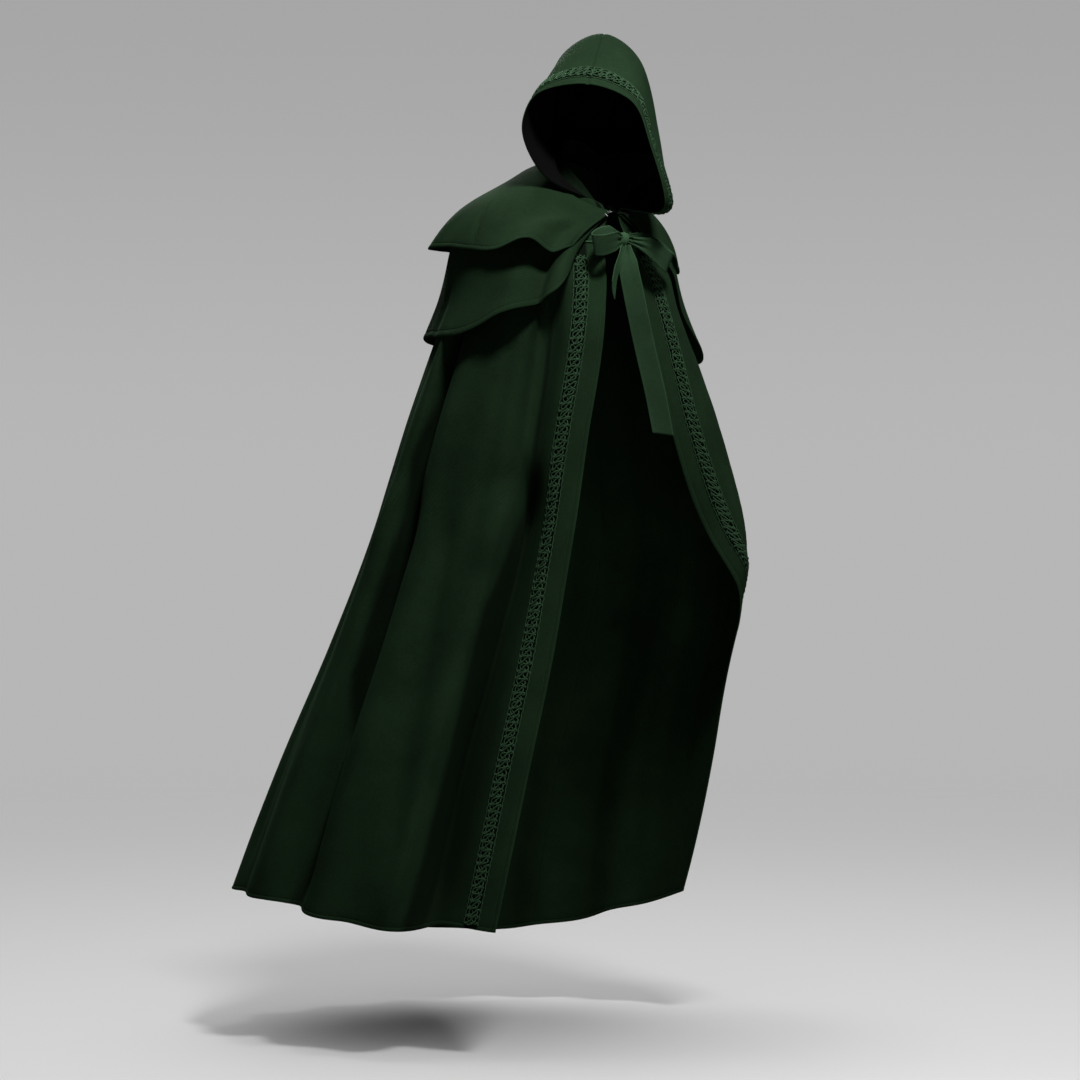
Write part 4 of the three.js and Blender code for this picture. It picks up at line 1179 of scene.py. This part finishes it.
TIES = {
    "tie_loop_right": rows_of(
        (-22.9, -123.6, -94, 0.1, 0.2, 1, 0.45),
        (-52, -134, -92, -0.2, 0.1, 1, 0.85),
        (-90, -144, -103, -0.3, 0, 1, 1),
        (-108, -153, -114, -0.3, -0.1, 1, 1),
        (-94, -162, -115, -0.2, -0.2, 1, 1),
        (-56, -156, -105, 0, -0.1, 1, 0.85),
        (-26, -136, -98, 0.1, 0, 1, 0.45),
    ),
    "tie_loop_left": rows_of(
        (-2.9, -122, -94, -0.1, 0.2, 1, 0.45),
        (24, -131, -99, 0.3, 0.1, 1, 0.85),
        (62, -138, -118, 0.4, 0, 1, 1),
        (82, -140, -134, 0.45, -0.1, 1, 1),
        (70, -152, -136, 0.4, -0.2, 1, 1),
        (30, -150, -112, 0.2, -0.1, 1, 0.85),
        (0, -134, -100, 0, 0, 1, 0.45),
    ),
    "tie_tail_long": rows_of(
        (-8, -127.4, -106.8, 1, -0.3, 0.1, 0.42),
        (-17, -140, -140, 1, -0.6, 0.15, 0.85),
        (-8, -148, -205, 1, -0.7, 0.2, 1),
        (8.5, -153.6, -284, 1, -0.7, 0.2, 1),
        (31.6, -160.5, -380, 1, -0.65, 0.2, 1),
        (48.2, -162.2, -452, 1, -0.6, 0.4, 1),
    ),
    "tie_tail_short": rows_of(
        (-20.4, -129, -109.6, 0.45, 0.4, -0.55, 0.45),
        (-40, -146, -136, 0.45, 0.5, -0.6, 1),
        (-62, -160, -164, 0.5, 0.5, -0.6, 1),
        (-74, -168, -196, 0.6, 0.5, -0.4, 1),
    ),
}


def band_rows(bearings, ends):
    """Rows of a band that is sewn beside a front edge and runs to the knot."""
    rows = []
    for bearing in bearings:
        at = np.array([bearing], float)
        level = np.array([BAND_LEVEL])
        place = cloak(at, level)[0] + cloak_normal(at, level)[0] * BAND_OFF
        up = unit(cloak(at, level) - cloak(at, level + 0.1))[0]
        rows.append((*place, *up, 0.6))
    return rows_of(*rows, *ends)


TIES["tie_band_right"] = band_rows((22, 14), [(-40, -121, -98, 0.1, -0.2, 1, 0.45), (-22.8, -117, -96, 0.1, 0, 1, 0.34)])
TIES["tie_band_left"] = band_rows((342, 348), [(8, -122, -96, 0, 0, 1, 0.45), (-3.2, -117, -96, 0, 0, 1, 0.34)])
SLANTS = {"tie_tail_long": 18.0, "tie_tail_short": 16.0}
for tie_name, tie_rows in TIES.items():
    pleats = 1.0 if "band" in tie_name else 2.5
    ribbon_piece(tie_name, tie_rows, pleats=pleats, slant=SLANTS.get(tie_name, 0.0))


def knot_piece():
    """The knot: a pleated band wrapped round the gathered ribbon."""
    rings, turns = 40, 64
    x = np.cos(np.linspace(math.pi, 0, rings + 2)[1:-1])[:, None]
    angle = np.linspace(0, 2 * math.pi, turns, endpoint=False)[None, :]
    swell = (1 - np.abs(x) ** 2.8) ** (1 / 2.8)
    fold = 1 + 0.05 * np.sin(9 * x + 1.3 * np.sin(angle)) + 0.03 * np.sin(17 * x + angle)
    size = swell * fold
    ring = stack(x * KNOT_HALF[0] + 0.9 * np.sin(angle), KNOT_HALF[1] * size * np.cos(angle), KNOT_HALF[2] * size * np.sin(angle))
    tips = np.array([[-KNOT_HALF[0] * 1.02, 0, 0], [KNOT_HALF[0] * 1.02, 0, 0]])
    points = np.concatenate([ring.reshape(-1, 3), tips]) + KNOT
    faces = []
    for j in range(rings - 1):
        for i in range(turns):
            k = (i + 1) % turns
            faces.append((j * turns + i, (j + 1) * turns + i, (j + 1) * turns + k, j * turns + k))
    first, last = rings * turns, rings * turns + 1
    for i in range(turns):
        k = (i + 1) % turns
        faces.append((first, i, k, k))
        faces.append((last, (rings - 1) * turns + k, (rings - 1) * turns + i, (rings - 1) * turns + i))
    quads = np.array([f for f in faces if f[2] != f[3]])
    caps = np.array([f[:3] for f in faces if f[2] == f[3]])
    mesh = bpy.data.meshes.new("tie_knot_wrap")
    mesh.from_pydata((points * MM).tolist(), [], quads[:, ::-1].tolist() + caps[:, ::-1].tolist())
    mesh.shade_smooth()
    piece = bpy.data.objects.new("tie_knot_wrap", mesh)
    bpy.context.collection.objects.link(piece)
    return finish_piece(piece, LIT_RIBBON_WOOL, "tie", "tie_knot")


knot_piece()


def steel_material():
    material = bpy.data.materials.new("dull_steel")
    material.use_nodes = True
    tree = material.node_tree
    tree.nodes.clear()
    place = node(tree, "ShaderNodeTexCoord").outputs["Object"]
    wear = node(tree, "ShaderNodeTexNoise", {"Vector": place, "Scale": 900, "Detail": 3}).outputs["Fac"]
    tone = colour_mix(tree, wear, (0.22, 0.22, 0.23, 1), (0.42, 0.42, 0.43, 1))
    rough = math_node(tree, "MULTIPLY_ADD", wear, 0.25, 0.25)
    shader = node(tree, "ShaderNodeBsdfPrincipled", {"Base Color": tone, "Roughness": rough, "Metallic": 1.0})
    node(tree, "ShaderNodeOutputMaterial", {"Surface": shader.outputs["BSDF"]})
    return material


def wire_ring(centre, side, up, wide, tall, wire):
    """Points and faces of a ring of round wire."""
    turns, sides = 28, 8
    a, b = np.meshgrid(np.linspace(0, 2 * math.pi, turns, endpoint=False), np.linspace(0, 2 * math.pi, sides, endpoint=False), indexing="ij")
    outward = unit(np.cross(side, up))
    spoke = np.cos(a)[..., None] * side + np.sin(a)[..., None] * up
    ring = np.cos(a)[..., None] * side * wide + np.sin(a)[..., None] * up * tall
    points = centre + ring + wire * (np.cos(b)[..., None] * spoke + np.sin(b)[..., None] * outward)
    i, j = np.meshgrid(np.arange(turns), np.arange(sides), indexing="ij")
    k, l = (i + 1) % turns, (j + 1) % sides
    faces = np.stack([i * sides + j, k * sides + j, k * sides + l, i * sides + l], axis=-1).reshape(-1, 4)
    return points.reshape(-1, 3), faces


def hooks_piece():
    """Small steel hooks and eyes sewn beside the front edges at the throat."""
    points, faces = [], []
    for u in (HOOK_INSET, 1 - HOOK_INSET):
        for s in HOOK_LEVELS:
            at, level = np.array([u]), np.array([s])
            surface = lambda p, q: capelet(UPPER, p, q)
            out = normals_of(surface, at, level, 0.002, 0.01)[0]
            up = unit(surface(at, level - 0.01) - surface(at, level + 0.01))[0]
            side = unit(np.cross(up, out))
            centre = surface(at, level)[0] + out * (WOOL / 2 + 0.6)
            for shift, wide, tall in ((0, 2.0, 2.2), (3.4, 2.6, 1.1)):
                ring, quads = wire_ring(centre + side * shift, side, up, wide, tall, 0.55)
                faces.append(quads + sum(len(p) for p in points))
                points.append(ring)
    piece = mesh_object("throat_hooks", np.concatenate(points), np.concatenate(faces))
    return finish_piece(piece, steel_material(), None)


hooks_piece()

# Camera, light and floor


def make_camera():
    data = bpy.data.cameras.new("camera")
    data.lens = LENS
    data.sensor_width = SENSOR
    camera = bpy.data.objects.new("camera", data)
    camera.location = EYE
    camera.rotation_euler = (math.radians(90), 0, math.radians(EYE_AZIMUTH))
    bpy.context.collection.objects.link(camera)
    bpy.context.scene.camera = camera


def add_softbox(name, place, target, size, power):
    """A square soft light that looks from its place to a target."""
    data = bpy.data.lights.new(name, "AREA")
    data.size = size
    data.energy = power
    light = bpy.data.objects.new(name, data)
    light.visible_camera = False
    gaze = np.array(target, float) - np.array(place, float)
    light.location = place
    across = math.hypot(gaze[0], gaze[1])
    light.rotation_euler = (math.atan2(across, -gaze[2]), 0, math.atan2(-gaze[0], gaze[1]))
    bpy.context.collection.objects.link(light)
    return light


def reach_only(light, name, objects):
    """Keep a light to some of the scene's objects."""
    lit = bpy.data.collections.new(name)
    for reached in objects:
        lit.objects.link(reached)
    light.light_linking.receiver_collection = lit


def add_floor_light(strength):
    """An even light from straight above that reaches the floor alone."""
    data = bpy.data.lights.new("floor_light", "SUN")
    data.energy = strength
    data.angle = math.radians(110)
    light = bpy.data.objects.new("floor_light", data)
    bpy.context.collection.objects.link(light)
    reach_only(light, "lit_floor", [bpy.data.objects["floor"]])


def make_floor():
    """A round pale floor that fades into the backdrop."""
    reach, rings, turns = 14.0, 40, 96
    radius = np.linspace(0.0, 1.0, rings + 1)[1:] * reach
    angle = np.linspace(0, 2 * math.pi, turns, endpoint=False)
    ring = stack(radius[:, None] * np.cos(angle), radius[:, None] * np.sin(angle), GROUND).reshape(-1, 3)
    points = np.concatenate([[[0, 0, GROUND]], ring]) / MM
    faces = [[0, 1 + i, 1 + (i + 1) % turns] for i in range(turns)]
    for j in range(rings - 1):
        for i in range(turns):
            k = (i + 1) % turns
            faces.append([1 + j * turns + i, 1 + (j + 1) * turns + i, 1 + (j + 1) * turns + k, 1 + j * turns + k])
    floor = mesh_object("floor", points, faces)
    floor.data.materials.append(floor_material(reach))


def floor_material(reach):
    material = bpy.data.materials.new("pale_floor")
    material.use_nodes = True
    tree = material.node_tree
    tree.nodes.clear()
    place = node(tree, "ShaderNodeTexCoord").outputs["Object"]
    away = node(tree, "ShaderNodeVectorMath", {0: place}, operation="LENGTH").outputs["Value"]
    fade = node(tree, "ShaderNodeMapRange", {
        "Value": away, "From Min": 1.6, "From Max": reach * 0.6, "To Min": 1.0, "To Max": 0.0,
    }, interpolation_type="SMOOTHERSTEP").outputs["Result"]
    grain = node(tree, "ShaderNodeTexNoise", {"Vector": place, "Scale": 40, "Detail": 4}).outputs["Fac"]
    rough = math_node(tree, "MULTIPLY_ADD", grain, 0.1, 0.6)
    shader = node(tree, "ShaderNodeBsdfPrincipled", {
        "Base Color": (0.72, 0.72, 0.72, 1), "Roughness": rough, "Alpha": fade,
    })
    dim = node(tree, "ShaderNodeBsdfDiffuse", {"Color": (0.10, 0.10, 0.10, 1)})
    path = node(tree, "ShaderNodeLightPath").outputs["Is Camera Ray"]
    both = node(tree, "ShaderNodeMixShader", {0: path, 1: dim.outputs[0], 2: shader.outputs["BSDF"]})
    node(tree, "ShaderNodeOutputMaterial", {"Surface": both.outputs[0]})
    return material


def make_world():
    """A grey backdrop, a little lighter low down, that gives less light than it shows."""
    world = bpy.data.worlds.new("studio")
    bpy.context.scene.world = world
    world.use_nodes = True
    tree = world.node_tree
    tree.nodes.clear()
    ray = node(tree, "ShaderNodeTexCoord").outputs["Generated"]
    height = node(tree, "ShaderNodeSeparateXYZ", {0: ray}).outputs["Z"]
    grey = node(tree, "ShaderNodeMapRange", {
        "Value": height, "From Min": 0.02, "From Max": 0.19, "To Min": 0.472, "To Max": 0.382,
    }, interpolation_type="SMOOTHSTEP").outputs["Result"]
    shown = node(tree, "ShaderNodeBackground", {"Color": (1, 1, 1, 1), "Strength": grey})
    fill = node(tree, "ShaderNodeBackground", {"Color": (1, 1, 1, 1), "Strength": 0.026})
    path = node(tree, "ShaderNodeLightPath").outputs["Is Camera Ray"]
    both = node(tree, "ShaderNodeMixShader", {0: path, 1: fill.outputs[0], 2: shown.outputs[0]})
    node(tree, "ShaderNodeOutputWorld", {"Surface": both.outputs[0]})


make_camera()
make_floor()
make_world()
bpy.context.scene.view_settings.view_transform = "Standard"
add_softbox("key_light", (-0.26, 0.12, 1.9), (0.0, 0.0, -0.1), 0.35, 9)
add_softbox("front_fill", (-0.50, -1.6, 2.3), (0, 0, -0.2), 0.5, 68)
add_softbox("floor_bounce", (-0.1, -1.1, -1.5), (0.0, 0.1, -0.9), 1.0, 2.5)
add_floor_light(1.9)
back_fill = add_softbox("back_fill", (1.1, 2.4, 1.7), (0, 0, -0.4), 0.9, 34)
cloths = [piece for piece in bpy.context.scene.objects if piece.type == "MESH" and piece.name != "floor"]
reach_only(back_fill, "lit_cloths", cloths)
